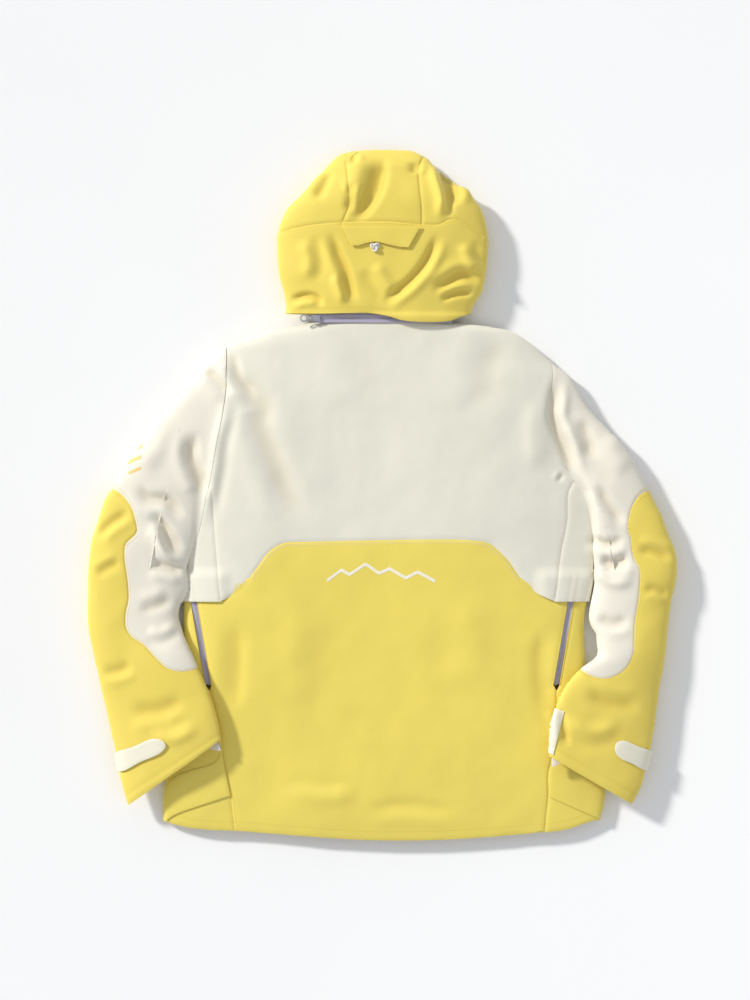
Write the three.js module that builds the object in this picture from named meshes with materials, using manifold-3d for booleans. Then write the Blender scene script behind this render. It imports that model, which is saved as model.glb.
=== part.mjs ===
// Insulated ski jacket, lying flat with its back up.
// Millimetres: +X to the wearer's right, +Y to the hood, +Z up.
// The origin is under the middle of the outline, on the surface that the jacket lies on.
import * as THREE from 'three';
import Module from 'manifold-3d';
import { mergeVertices } from 'three/addons/utils/BufferGeometryUtils.js';

const wasm = await Module();
wasm.setup();

// ---- driving sizes ----
const GAP = 0.3; // between pieces that touch
const HEM_Y = -517.5; // middle of the back hem
const HEM_RISE = 27; // how much higher the hem is at the side edges
const NECK_Y = 257.5; // yoke's neck edge
const CROWN_Y = 517.5; // top of the hood
const BODY_SCALE = 1; // body width against the drawn pattern
const WALL = 3.5; // wall of back, sides and sleeves
const FRONT_WALL = 5; // wall of the fronts, which hold the zip
const EDGE_Z = 9; // height of the body's side edge
const BACK_Z = 38; // height of the back at the shoulders
const SHOULDER = [242 * BODY_SCALE, 212]; // top end of the armhole seam, where the sleeve turns
const ARMPIT_Y = -112;
const ARMHOLE_GAP = 1.3 * BODY_SCALE ** 2; // sleeve's mean clearance along the armhole seam
const YOKE_MID_Y = -66; // yoke seam at the middle of the back
const YOKE_SIDE_DROP = 91; // how much lower that seam is at the sides
const FLAP_Y = -120; // where the yoke's wall ends over the vent zip
const ZIP_CHANNEL = 5; // half width of the slot that a vent zip lies in
const VENT_TOP = [289.5 * BODY_SCALE, -118];
const VENT_END = [260.5 * BODY_SCALE, -284];
const VENT_Z = EDGE_Z + (BACK_Z - EDGE_Z) * 0.448; // upper face of the vent zip's tape
const VENT_SLIDER_AT = 15; // slider's place along the vent zip, from its top
const TAPE = 1.3; // zip tape thickness
const TEETH = 1.5; // height of the teeth on the tape
const TEETH_HALF = 2.3;
const FRONT_GAP = 8; // half width of the front opening round the zip
const FRONT_TAPE_HALF = 20;
const COLLAR_HALF = 94; // narrower than the face opening, so that the hood folds back past the collar
const COLLAR_TOP_Y = 300;
const COLLAR_WALL = 4;
const COLLAR_POWER = 0.6; // under 1 squares the collar's section
const COLLAR_OPEN = 14; // degrees, half of the opening at the front
const NECK_STEP = 0.4; // collar's outer face lies this much inside the body's
const HOOD_ZIP_Y = 265.2;
const HOOD_ZIP_HALF = 104; // half length of the hood zip
const HOOD_ZIP_REACH = 6.6; // from the teeth to a tape's outer edge
const HOOD_SLIDER_X = -99;
const HOOD_HEM_Y = HOOD_ZIP_Y + HOOD_ZIP_REACH + GAP;
const HOOD_TOP_Z = BACK_Z + 8;
const HOOD_WALL = 3.5;
const HOOD_SEAM_Y = 407; // seam between the hood's lower panel and the crown panels
const FACE_HALF = 118; // face opening's hem, outer half width
const FACE_BEND_Y = 380; // where its sides start to round over
const FACE_RISE = 98;
const FACE_HEM = 22; // width of that hem
// Degrees round the sleeve and shares of its length.
const CUFF_TAB = { from: 12, to: 84, start: 0.845, end: 0.886 };
const CORD_RADIUS = 1.5;
const KNOT = [-11, 371];

// ---- materials ----
const paint = (color, roughness, metalness = 0) => new THREE.MeshStandardMaterial({ color, roughness, metalness });
const cream = () => paint('#e2e3d6', 0.75);
const sleeveCream = () => paint('#e8e4d6', 0.75);
const yellow = () => paint('#e8d56c', 0.72);
const lavender = () => paint('#c4c0d0', 0.6);
const lining = () => paint('#e6dfd2', 0.85);
const knit = () => paint('#f0e4d4', 0.9);
const metal = () => paint('#b9bcc0', 0.35, 0.9);
const whiteCord = () => paint('#f1efe8', 0.8);

// ---- small maths ----
const RAD = Math.PI / 180;
const lerp = (a, b, t) => a + (b - a) * t;
const clamp = (v, a = 0, b = 1) => Math.min(b, Math.max(a, v));
const smooth = (t) => clamp(t) ** 2 * (3 - 2 * clamp(t));
const bump = (t) => (Math.abs(t) < 1 ? Math.cos((t * Math.PI) / 2) ** 2 : 0);
const v3 = (x, y, z) => new THREE.Vector3(x, y, z);

// A smooth value through [place, value] pairs, without overshoot.
function through(pairs) {
  const slope = pairs.map((_, i) => {
    if (i === 0 || i === pairs.length - 1) return 0;
    const a = (pairs[i][1] - pairs[i - 1][1]) / (pairs[i][0] - pairs[i - 1][0]);
    const b = (pairs[i + 1][1] - pairs[i][1]) / (pairs[i + 1][0] - pairs[i][0]);
    return a * b > 0 ? (2 * a * b) / (a + b) : 0;
  });
  slope[0] = (pairs[1][1] - pairs[0][1]) / (pairs[1][0] - pairs[0][0]);
  return (place) => {
    const s = clamp(place, pairs[0][0], pairs[pairs.length - 1][0]);
    let i = 0;
    while (i < pairs.length - 2 && s > pairs[i + 1][0]) i += 1;
    const width = pairs[i + 1][0] - pairs[i][0];
    const t = (s - pairs[i][0]) / width;
    const rise = pairs[i + 1][1] - pairs[i][1];
    const cubic = t * t * (3 - 2 * t) * rise;
    return pairs[i][1] + cubic + width * (slope[i] * t * (1 - t) ** 2 - slope[i + 1] * t * t * (1 - t));
  };
}

// ---- solids ----
// Puts faces outwards and returns a plain indexed geometry.
function closed(positions, index) {
  let volume = 0;
  for (let i = 0; i < index.length; i += 3) {
    const [a, b, c] = [0, 1, 2].map((k) => v3(...positions.slice(index[i + k] * 3, index[i + k] * 3 + 3)));
    volume += a.dot(b.cross(c));
  }
  const faces = volume > 0 ? index : index.map((_, i) => index[i + (i % 3 === 1 ? 1 : i % 3 === 2 ? -1 : 0)]);
  const geometry = new THREE.BufferGeometry();
  geometry.setAttribute('position', new THREE.Float32BufferAttribute(positions, 3));
  geometry.setIndex(faces);
  geometry.computeVertexNormals();
  return geometry;
}

// A padded sheet between two grids of points. outer and inner map (u, w), each from 0 to 1, to a point.
// us and ws list the grid's places. A ring closes on itself in u, and then its last place is left out.
function sheetSolid(us, ws, outer, inner, ring = false) {
  const positions = [];
  for (const skin of [outer, inner]) {
    for (const w of ws) for (const u of us) positions.push(...skin(u, w).toArray());
  }
  const nu = us.length;
  const nw = ws.length;
  const at = (skin, i, j) => skin * nu * nw + j * nu + (i % nu);
  const index = [];
  const quad = (a, b, c, d) => index.push(a, b, c, a, c, d);
  const spans = ring ? nu : nu - 1;
  for (let j = 0; j < nw - 1; j += 1) {
    for (let i = 0; i < spans; i += 1) {
      quad(at(0, i, j), at(0, i + 1, j), at(0, i + 1, j + 1), at(0, i, j + 1));
      quad(at(1, i, j), at(1, i, j + 1), at(1, i + 1, j + 1), at(1, i + 1, j));
    }
  }
  for (let i = 0; i < spans; i += 1) {
    quad(at(1, i, 0), at(1, i + 1, 0), at(0, i + 1, 0), at(0, i, 0));
    quad(at(0, i, nw - 1), at(0, i + 1, nw - 1), at(1, i + 1, nw - 1), at(1, i, nw - 1));
  }
  for (let j = 0; j < nw - 1 && !ring; j += 1) {
    quad(at(0, 0, j), at(0, 0, j + 1), at(1, 0, j + 1), at(1, 0, j));
    quad(at(0, nu - 1, j + 1), at(0, nu - 1, j), at(1, nu - 1, j), at(1, nu - 1, j + 1));
  }
  return closed(positions, index);
}

const steps = (count) => Array.from({ length: count + 1 }, (_, i) => i / count);

function toManifold(geometry) {
  const plain = geometry.clone();
  plain.deleteAttribute('normal');
  plain.deleteAttribute('uv');
  const merged = mergeVertices(plain, 1e-4);
  const vertProperties = new Float32Array(merged.attributes.position.array);
  const triVerts = new Uint32Array(merged.index.array);
  return new wasm.Manifold(new wasm.Mesh({ numProp: 3, vertProperties, triVerts }));
}

function fromManifold(solid) {
  const mesh = solid.getMesh();
  const geometry = new THREE.BufferGeometry();
  geometry.setAttribute('position', new THREE.Float32BufferAttribute(mesh.vertProperties, 3));
  geometry.setIndex(Array.from(mesh.triVerts));
  geometry.computeVertexNormals();
  return geometry;
}

const box = (x0, x1, y0, y1, z0, z1) =>
  new THREE.BoxGeometry(x1 - x0, y1 - y0, z1 - z0).translate((x0 + x1) / 2, (y0 + y1) / 2, (z0 + z1) / 2);

// A flat profile of [across, height] points pushed along +X from x0 to x1.
function alongX(profile, x0, x1) {
  const shape = new THREE.Shape(profile.map(([y, z]) => new THREE.Vector2(y, z)));
  const solid = new THREE.ExtrudeGeometry(shape, { depth: x1 - x0, bevelEnabled: false });
  solid.applyMatrix4(new THREE.Matrix4().makeBasis(v3(0, 1, 0), v3(0, 0, 1), v3(1, 0, 0)));
  return solid.translate(x0, 0, 0);
}

// ---- body: a flat oval tube, with its top and underside cut into panels ----
const bodyHalfPattern = through([
  [HEM_Y, 322], [-440, 326], [-388, 320], [-300, 304], [-200, 299], [ARMPIT_Y, 304.5], [-50, 318], [30, 330],
  [100, 330], [140, 312], [175, 286], [SHOULDER[1], SHOULDER[0] / BODY_SCALE], [240, 200], [252, 152],
  [NECK_Y, COLLAR_HALF + 2],
]);
const bodyHalf = (y) => bodyHalfPattern(y) * BODY_SCALE;
const bodyTop = through([
  [HEM_Y, BACK_Z - 18], [-400, BACK_Z - 12], [-300, BACK_Z - 7], [-150, BACK_Z - 3], [0, BACK_Z], [NECK_Y, BACK_Z],
]);
const armholePattern = through([
  [ARMPIT_Y, 304.5], [-70, 299], [-30, 289], [0, 278], [25, 268], [55, 260], [90, 250], [120, 243.5],
  [170, 241.5], [SHOULDER[1], SHOULDER[0] / BODY_SCALE],
]);
const armhole = (y) => (y > ARMPIT_Y && y < SHOULDER[1] ? armholePattern(y) * BODY_SCALE : bodyHalf(y));
const yokeSeam = (x) => YOKE_MID_Y - YOKE_SIDE_DROP * smooth((Math.abs(x) / BODY_SCALE - 132) / 125);
const yokeWallEnd = (x) => Math.max(yokeSeam(x), FLAP_Y);
const hemY = (x) => HEM_Y + HEM_RISE * Math.abs(x / bodyHalf(HEM_Y)) ** 2.2;
const sideSeam = through([[-155, 259], [-115, 264], [-80, 269], [-40, 276.5], [5, 276.4]]);
const ventSlope = (VENT_TOP[0] - VENT_END[0]) / (VENT_TOP[1] - VENT_END[1]);
const ventX = (y) => VENT_END[0] + (y - VENT_END[1]) * ventSlope;
const lowerSeam = through([[HEM_Y, 224], [-449, 229], [-383, 241], [-330, 249], [VENT_END[1] - 14, 257.5]]);
const ventGap = (y) => lerp(GAP / 2, ZIP_CHANNEL, smooth((y - VENT_END[1] + 12) / 11));
const ventLine = (y) => (y > VENT_END[1] - 14 ? ventX(y) : lowerSeam(y) * BODY_SCALE);

const BODY_POWER = 3;
const FLAT_SHARE = 0.8; // share of the half width over which the underside lies flat
const EDGE_SHARE = 0.968; // past this share the wall's inner face also moves sideways
// Point of the body's skin at share q of the half width; inset moves it inwards through the wall.
function bodyPoint(q, y, top, inset = 0) {
  const share = Math.abs(q);
  const x = bodyHalf(y) * q - Math.sign(q) * inset * clamp((share - EDGE_SHARE) / (1 - EDGE_SHARE)) ** 2;
  if (top) {
    const edge = EDGE_Z + GAP / 2;
    const rise = (1 - Math.min(1, share) ** BODY_POWER) ** (1 / BODY_POWER);
    return v3(x, y, edge + (bodyTop(y) - inset - edge) * rise);
  }
  const roll = clamp((share - FLAT_SHARE) / (1 - FLAT_SHARE));
  const edge = EDGE_Z - GAP / 2;
  return v3(x, y, inset + (edge - inset) * (1 - Math.sqrt(1 - roll * roll)));
}
const bodySkinZ = (x, y) => bodyPoint(Math.min(1, Math.abs(x) / bodyHalf(y)), y, true).z;

// Columns across the back: fixed places up to the last one, which is the panel's own edge.
const BACK_STOPS = [0, 66, 110, 135, 155, 175, 195, 215];
const backColumns = [...steps(BACK_STOPS.length).reverse().map((t) => -t), ...steps(BACK_STOPS.length).slice(1)];
function backX(u, edge) {
  const k = Math.round(Math.abs(u) * BACK_STOPS.length);
  const x = k === BACK_STOPS.length ? edge : BACK_STOPS[k] * BODY_SCALE * Math.min(1, edge / (220 * BODY_SCALE));
  return Math.sign(u) * x;
}
// Rows up the side seams, which neighbouring panels share.
const YOKE_ROWS = [FLAP_Y, -80, -40, 5, 50, 90, 130, 172, SHOULDER[1], 235, 250, NECK_Y];
const SIDE_ROWS = [FLAP_Y, -80, -40, -8];
const LOWER_ROWS = [HEM_Y, -449, -400, -350, VENT_END[1] - 14, VENT_END[1] - 1, -200, FLAP_Y];

const shareOf = (x, y) => clamp(x / bodyHalf(y), -1, 1);

// A back panel with its edge at edge(y), its lower end at low(x) and its upper end at high(x).
function backPanel(edge, rows, low, high) {
  const skin = (inset) => (u, row) => {
    let y = row;
    let x = 0;
    for (let pass = 0; pass < 8; pass += 1) {
      x = backX(u, edge(y));
      const share = (row - rows[0]) / (rows[rows.length - 1] - rows[0]);
      y = lerp(low(x), high(x), share);
    }
    return bodyPoint(shareOf(x, y), y, true, inset);
  };
  return sheetSolid(backColumns, rows, skin(0), skin(WALL));
}

const yokeEdge = (y) => (y > 5 ? armhole(y) : Math.min(sideSeam(y) * BODY_SCALE, armhole(y)));
const lowerEdge = (y) => ventLine(y) - ventGap(y);
function backYoke() {
  return backPanel((y) => yokeEdge(y) - GAP / 2, YOKE_ROWS, (x) => yokeWallEnd(x) + GAP / 2, () => NECK_Y - GAP);
}
function backLowerPanel() {
  const rows = LOWER_ROWS.map((y, i) => (i ? y : hemY(lowerEdge(HEM_Y))));
  return backPanel(lowerEdge, rows, (x) => (Math.abs(x) > lowerEdge(HEM_Y) ? rows[0] : hemY(x)),
    (x) => yokeWallEnd(x) - GAP / 2);
}

function upperSidePanel() {
  const skin = (inset) => (u, row) => {
    const y = row === FLAP_Y ? row + GAP / 2 : row;
    const x = lerp(yokeEdge(y) + GAP / 2, armhole(y) - GAP / 2, u);
    return bodyPoint(shareOf(x, y), y, true, inset);
  };
  return sheetSolid(steps(3), SIDE_ROWS, skin(0), skin(WALL));
}

const SIDE_WRAP = 22; // how far the lower side panel turns under
function lowerSidePanel() {
  const angle = (x, y) => Math.acos(clamp(x / bodyHalf(y)) ** (BODY_POWER / 2));
  const skin = (inset) => (u, row) => {
    const hem = hemY(lerp(lowerEdge(HEM_Y), bodyHalf(HEM_Y), Math.min(1, 2 * u)));
    const y = row === HEM_Y ? hem : row - (row === FLAP_Y ? GAP / 2 : 0);
    const a = lerp(angle(ventLine(y) + ventGap(y), y), -angle(bodyHalf(y) - SIDE_WRAP, y), u);
    return bodyPoint(Math.cos(a) ** (2 / BODY_POWER), y, a >= 0, inset);
  };
  return sheetSolid(steps(7), LOWER_ROWS, skin(0), skin(WALL));
}

// A panel of the right front, from the front zip's gap to edge(y), with its rows at ys.
function frontPiece(edge, ys, columns) {
  const skin = (inset) => (u, row) => {
    const y = row === HEM_Y ? hemY(lerp(FRONT_GAP, edge(row), u)) : row;
    const x = lerp(FRONT_GAP, edge(y), u);
    return bodyPoint(shareOf(x, y), y, false, inset);
  };
  return sheetSolid(columns, ys, skin(0), skin(FRONT_WALL));
}
const mirrored = (geometry) => {
  const turned = geometry.clone().scale(-1, 1, 1);
  return closed(Array.from(turned.attributes.position.array), Array.from(turned.index.array));
};
const frontColumns = [0, 0.4, 0.78, 0.88, 0.95, 1];
const frontYoke = () => {
  const rows = YOKE_ROWS.slice(3).map((y) => (y === NECK_Y ? y - GAP : y));
  return frontPiece((y) => armhole(y) - GAP / 2, [YOKE_MID_Y + GAP / 2, -30, ...rows], frontColumns);
};
const chestBand = () =>
  frontPiece((y) => armhole(y) - GAP / 2, [FLAP_Y, -90, YOKE_MID_Y - GAP / 2], frontColumns);
const frontPanel = () => {
  const rows = LOWER_ROWS.map((y) => (y === FLAP_Y ? y - GAP : y));
  return frontPiece((y) => bodyHalf(y) - SIDE_WRAP - GAP, rows, frontColumns);
};

// ---- zips: local +X along the zip, +Z off the tape's face ----
const SLIDER = {
  half: 6, plateZ: 1.8, plate: 1.7, inner: 2.6, outer: 4.4, pinX: 7.9, pinR: 0.65, earAt: 2.8, earHalf: 0.6,
};
const LOW_PIN = 3.1;
const HIGH_PIN = 4.6; // lets the pull turn right over, flat above its slider
const PULL = { neck: 1.5, thick: 1.3, ring: { half: 6, hole: 3.7, start: 4 }, tab: { half: 3.4, hole: 1.6 } };
const tapeProfile = (reach) => [
  [GAP, -TAPE], [reach, -TAPE], [reach, 0], [TEETH_HALF, 0], [TEETH_HALF, TEETH], [GAP, TEETH],
];

function cylinderY(radius, half, x, z) {
  return new THREE.CylinderGeometry(radius, radius, half * 2, 8).translate(x, 0, z);
}

function zipSlider(pinZ) {
  const { half, plateZ, plate, inner, outer, pinX, pinR, earAt, earHalf } = SLIDER;
  const top = plateZ + plate;
  const cap = [[-outer, GAP], [-inner, GAP], [-inner, plateZ], [inner, plateZ], [inner, GAP], [outer, GAP]];
  let solid = toManifold(alongX([...cap, [outer, top], [-outer, top]], -half, half));
  for (const middle of [-earAt, earAt]) {
    const ear = box(half - 2, pinX + 2 * pinR, middle - earHalf, middle + earHalf, plateZ + 0.1, pinZ + 1.1);
    solid = solid.add(toManifold(ear));
  }
  return fromManifold(solid.add(toManifold(cylinderY(pinR, earAt, pinX, pinZ))));
}

// Pull with an eye round the slider's pin and, at its end, a ring or a long tab with a slot.
function zipPull(length, ring, pinZ) {
  const { pinX, pinR } = SLIDER;
  const { half, hole: holeRadius } = ring ? PULL.ring : PULL.tab;
  const end = length - half;
  const widens = ring ? end - PULL.ring.start : pinX + 3;
  const turn = ring ? Math.PI - 0.4 : Math.PI / 2;
  const shape = new THREE.Shape();
  shape.moveTo(pinX + 1, -PULL.neck);
  shape.lineTo(widens, -PULL.neck);
  shape.absarc(end, 0, half, -turn, turn, false);
  shape.lineTo(widens, PULL.neck);
  shape.lineTo(pinX + 1, PULL.neck);
  const hole = new THREE.Path();
  hole.absarc(end, 0, holeRadius, 0, Math.PI * 2, true);
  shape.holes.push(hole);
  const settings = { depth: PULL.thick, bevelEnabled: false, curveSegments: 6 };
  const plate = new THREE.ExtrudeGeometry(shape, settings).translate(0, 0, pinZ - PULL.thick / 2);
  const eye = toManifold(cylinderY(pinR + GAP + 0.5, 1.8, pinX, pinZ));
  const bore = toManifold(cylinderY(pinR + GAP, 4, pinX, pinZ));
  return fromManifold(toManifold(plate).add(eye).subtract(bore));
}

// ---- collar and hanger loop ----
function collar() {
  const low = FRONT_WALL + NECK_STEP;
  const high = BACK_Z - NECK_STEP;
  const power = (v) => Math.sign(v) * Math.abs(v) ** COLLAR_POWER;
  const open = COLLAR_OPEN * RAD;
  const skin = (inset) => (u, w) => {
    const a = lerp(-Math.PI / 2 + open, Math.PI * 1.5 - open, u);
    const y = lerp(NECK_Y + GAP / 3, COLLAR_TOP_Y, w);
    const z = (low + high) / 2 + ((high - low) / 2 - inset) * power(Math.sin(a));
    return v3((COLLAR_HALF - inset) * power(Math.cos(a)), y, z);
  };
  return sheetSolid(steps(22), steps(1), skin(0), skin(COLLAR_WALL));
}

const LOOP = { half: 30, slope: 4, drop: 10, wide: 7, thick: 1.6, bottom: 1.4, fromTop: 24 };
function hangerLoop() {
  const under = BACK_Z - NECK_STEP - COLLAR_WALL - GAP;
  const low = under - LOOP.drop;
  const foot = LOOP.half - LOOP.slope;
  const turns = [[-LOOP.half, under], [-foot, low], [foot, low], [LOOP.half, under]];
  const inner = turns.map(([x, z]) => [x - Math.sign(x) * LOOP.thick, z === low ? z + LOOP.bottom : z]).reverse();
  const shape = new THREE.Shape([...turns, ...inner].map(([x, z]) => new THREE.Vector2(x, z)));
  const strap = new THREE.ExtrudeGeometry(shape, { depth: LOOP.wide, bevelEnabled: false });
  return strap.rotateX(Math.PI / 2).translate(0, COLLAR_TOP_Y - LOOP.fromTop, 0);
}

// ---- hood: a flat oval tube that closes towards the crown ----
const hoodHalf = through([
  [HOOD_HEM_Y, 139], [300, 147], [325, 152], [355, 157], [385, 158], [402, 155], [425, 147], [447, 130],
  [465, 113], [480, 97], [495, 83], [508, 68], [CROWN_Y, 52],
]);
const hoodTop = through([[HOOD_HEM_Y, HOOD_TOP_Z], [430, HOOD_TOP_Z], [490, 34], [CROWN_Y, 19]]);
const hoodEdge = through([[HOOD_HEM_Y, 22], [430, 22], [CROWN_Y, 11]]);
const hoodSeam = through([[HOOD_SEAM_Y, 58], [460, 54], [500, 52], [CROWN_Y, 38]]);
const HOOD_POWER = 2.6;
const HOOD_LOW_Z = 4.1;
const FACE_Z = 0.4; // underside of the face hem
const FACE_LAP = 8; // how far the hood's wall reaches over the face hem
const faceOuter = (y) => FACE_HALF * Math.sqrt(1 - clamp((y - FACE_BEND_Y) / FACE_RISE) ** 2);
const underLimit = (y) => Math.max(2, faceOuter(y) - FACE_LAP);

function hoodPoint(a, y, inset = 0) {
  const across = Math.sign(Math.cos(a)) * Math.abs(Math.cos(a)) ** (2 / HOOD_POWER);
  const rise = Math.abs(Math.sin(a)) ** (2 / HOOD_POWER);
  const edge = hoodEdge(y);
  const wall = Math.min(inset, (hoodTop(y) - edge) * 0.45, (edge - HOOD_LOW_Z) * 0.45);
  const z = Math.sin(a) >= 0 ? edge + (hoodTop(y) - wall - edge) * rise : edge - (edge - HOOD_LOW_Z - wall) * rise;
  return v3((hoodHalf(y) - inset) * across, y, z);
}
const hoodAngle = (x, y) => Math.acos(clamp(x / hoodHalf(y), -1, 1) ** (HOOD_POWER / 2));
const hoodSkinZ = (x, y) => hoodPoint(hoodAngle(Math.abs(x), y), y).z;

function hoodPiece(from, to, y0, y1, us, ws) {
  const skin = (inset) => (u, w) => {
    const y = lerp(y0, y1, w);
    return hoodPoint(lerp(from(y), to(y), u), y, inset);
  };
  return sheetSolid(us, ws, skin(0), skin(HOOD_WALL));
}

const seamAngle = (y) => hoodAngle(hoodSeam(y), y);
const underAngle = (y) => -hoodAngle(underLimit(y), y);
const sideAngle = (y) => seamAngle(y) - 0.004;
const lowRow = HOOD_SEAM_Y - GAP / 2;
const highRow = HOOD_SEAM_Y + GAP / 2;
const hoodLowerPanel = () =>
  hoodPiece(underAngle, (y) => Math.PI - underAngle(y), HOOD_HEM_Y, lowRow, steps(22), steps(5));
const hoodSidePanel = () => hoodPiece(underAngle, sideAngle, highRow, CROWN_Y, steps(9), steps(8));
const hoodCenterPanel = () =>
  hoodPiece(seamAngle, (y) => Math.PI - seamAngle(y), highRow, CROWN_Y, steps(4), steps(8));

function hoodFaceHem() {
  const outline = (half, rise) => {
    const points = [];
    for (let i = 0; i <= 16; i += 1) {
      const a = (i / 16) * Math.PI;
      points.push(new THREE.Vector2(half * Math.cos(a), FACE_BEND_Y + rise * Math.sin(a)));
    }
    return points;
  };
  const outer = outline(FACE_HALF, FACE_RISE);
  const inner = outline(FACE_HALF - FACE_HEM, FACE_RISE - FACE_HEM);
  const low = HOOD_HEM_Y + 1;
  const thick = HOOD_LOW_Z - FACE_Z - GAP;
  const shape = new THREE.Shape([
    new THREE.Vector2(FACE_HALF, low), ...outer, new THREE.Vector2(-FACE_HALF, low),
    new THREE.Vector2(FACE_HEM - FACE_HALF, low), ...inner.reverse(), new THREE.Vector2(FACE_HALF - FACE_HEM, low),
  ]);
  return new THREE.ExtrudeGeometry(shape, { depth: thick, bevelEnabled: false }).translate(0, 0, FACE_Z);
}

const FLAP = { low: 372, high: 402, halfLow: 43, halfHigh: 57, arch: 8, archHalf: 26, middle: -3, thick: 1.8 };
function hoodRearFlap() {
  const skin = (lift) => (u, w) => {
    const x = FLAP.middle + lerp(-1, 1, u) * lerp(FLAP.halfLow, FLAP.halfHigh, w);
    const y = lerp(FLAP.low + FLAP.arch * bump((x - KNOT[0]) / FLAP.archHalf), FLAP.high, w);
    const rise = (2 * CORD_RADIUS + GAP) * Math.min(1, 1.6 * bump((x - 1) / 44));
    return v3(x, y, hoodSkinZ(x, y) + GAP + rise + lift);
  };
  return sheetSolid(steps(14), steps(4), skin(FLAP.thick), skin(0));
}

const CORD_Z = HOOD_TOP_Z + GAP + CORD_RADIUS;
const cordPath = [[13, 384], [10, 394], [0, 398], [-9, 392], [KNOT[0], 380]];
function hoodCord() {
  const circle = new THREE.Shape().absarc(0, 0, CORD_RADIUS, 0, Math.PI * 2, false);
  const path = new THREE.CatmullRomCurve3(cordPath.map(([x, y]) => v3(x, y, CORD_Z)));
  const settings = { extrudePath: path, steps: 14, curveSegments: 4, bevelEnabled: false };
  return new THREE.ExtrudeGeometry(circle, settings);
}
const KNOT_SIZE = [8.5, 7.9, 3.5];
const EYELET = { radius: 3.5, high: 2.8, below: 3.9 };
function hoodCordKnot() {
  const knot = new THREE.SphereGeometry(1, 14, 8).scale(...KNOT_SIZE);
  return knot.translate(...KNOT, HOOD_TOP_Z + GAP + KNOT_SIZE[2]);
}
function hoodCordEyelet() {
  const barrel = new THREE.CylinderGeometry(EYELET.radius, EYELET.radius, EYELET.high, 16);
  return barrel.rotateX(Math.PI / 2).translate(cordPath[0][0], cordPath[0][1] - EYELET.below, CORD_Z);
}

// ---- sleeves: a flat oval tube from the armhole to the cuff ----
const sleeveShift = bodyHalf(ARMPIT_Y) * (1 - 1 / BODY_SCALE); // how far a wider body moves the sleeves out
const sleeveLine = (points) => new THREE.CatmullRomCurve3(points.map(([x, y]) => v3(x + sleeveShift, y, 0)));
const outerLine = sleeveLine([
  [SHOULDER[0] - sleeveShift, SHOULDER[1]], [330, 120], [402, 11], [440.9, -92], [437.3, -175], [424, -262],
  [411, -325], [395, -405], [378, -462],
]);
const innerLine = sleeveLine([
  [304.9, ARMPIT_Y], [309, -118], [310, -126], [308, -140], [312, -190], [294, -250], [264, -298],
  [251, -345], [244, -388],
]);
const ELBOW_Z = [[0.5, BACK_Z - 16], [0.625, BACK_Z - 3], [0.75, BACK_Z + 1], [1, BACK_Z + 3]];
const innerZ = through([[0, 15.6], [0.25, 19.5], ...ELBOW_Z]); // forearm lies on the body's edge
const outerZ = through([[0, 15.6], [0.25, 19.5], [0.5, 18.9], [0.75, 20], [1, 25]]);
const sleeveHeight = through([[0, 15], [0.2, 18.8], [0.5, 17.8], [0.75, 14.5], [1, 13]]);
const SLEEVE_POWER = 2.4;

function lineAt(line, t) {
  if (t <= 1) return line.getPoint(t);
  const end = line.getPoint(1);
  return end.clone().add(end.clone().sub(line.getPoint(0.98)).multiplyScalar((t - 1) / 0.02));
}

// Point of the sleeve's skin: a is the angle round the section, 0 at the outer edge and a quarter turn on top, and
// t runs from the armhole to the cuff.
function sleevePoint(a, t, inset = 0) {
  const out = lineAt(outerLine, t);
  const inn = lineAt(innerLine, t);
  const middle = out.clone().add(inn).multiplyScalar(0.5);
  const half = out.distanceTo(inn) / 2 - inset;
  const axis = out.clone().sub(inn).normalize();
  const across = Math.sign(Math.cos(a)) * Math.abs(Math.cos(a)) ** (2 / SLEEVE_POWER);
  const rise = Math.sign(Math.sin(a)) * Math.abs(Math.sin(a)) ** (2 / SLEEVE_POWER);
  const point = middle.addScaledVector(axis, half * across);
  point.z = lerp(innerZ(t), outerZ(t), (1 + across) / 2) + (sleeveHeight(t) - inset) * rise;
  const near = 1 - smooth(t / 0.22);
  if (near > 0) {
    const y = clamp(point.y, ARMPIT_Y + 0.5, SHOULDER[1] - 0.5);
    const chord = lerp(SHOULDER[0], innerLine.getPoint(0).x, (SHOULDER[1] - y) / (SHOULDER[1] - ARMPIT_Y));
    point.x += near * (armhole(y) + ARMHOLE_GAP - chord);
    const q = Math.min(1, point.x / bodyHalf(y));
    point.z = lerp(point.z, bodyPoint(q, y, Math.sin(a) >= 0, inset).z, near);
  }
  return point;
}

// Seam between the cream upper sleeve and the yellow forearm, as t at an angle in degrees.
const sleeveSeam = through([
  [0, 0.25], [74, 0.25], [79, 0.29], [83, 0.42], [86, 0.52], [91, 0.585], [100, 0.615], [125, 0.64], [180, 0.635],
]);
const ringHalf = [0, 20, 40, 60, 74, 79, 83, 86, 91, 100, 125, 150];
const ringAngles = [...ringHalf, 180, ...ringHalf.slice(1).reverse().map((a) => 360 - a)];
const seamAt = (degrees) => sleeveSeam(Math.min(degrees, 360 - degrees));

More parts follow.
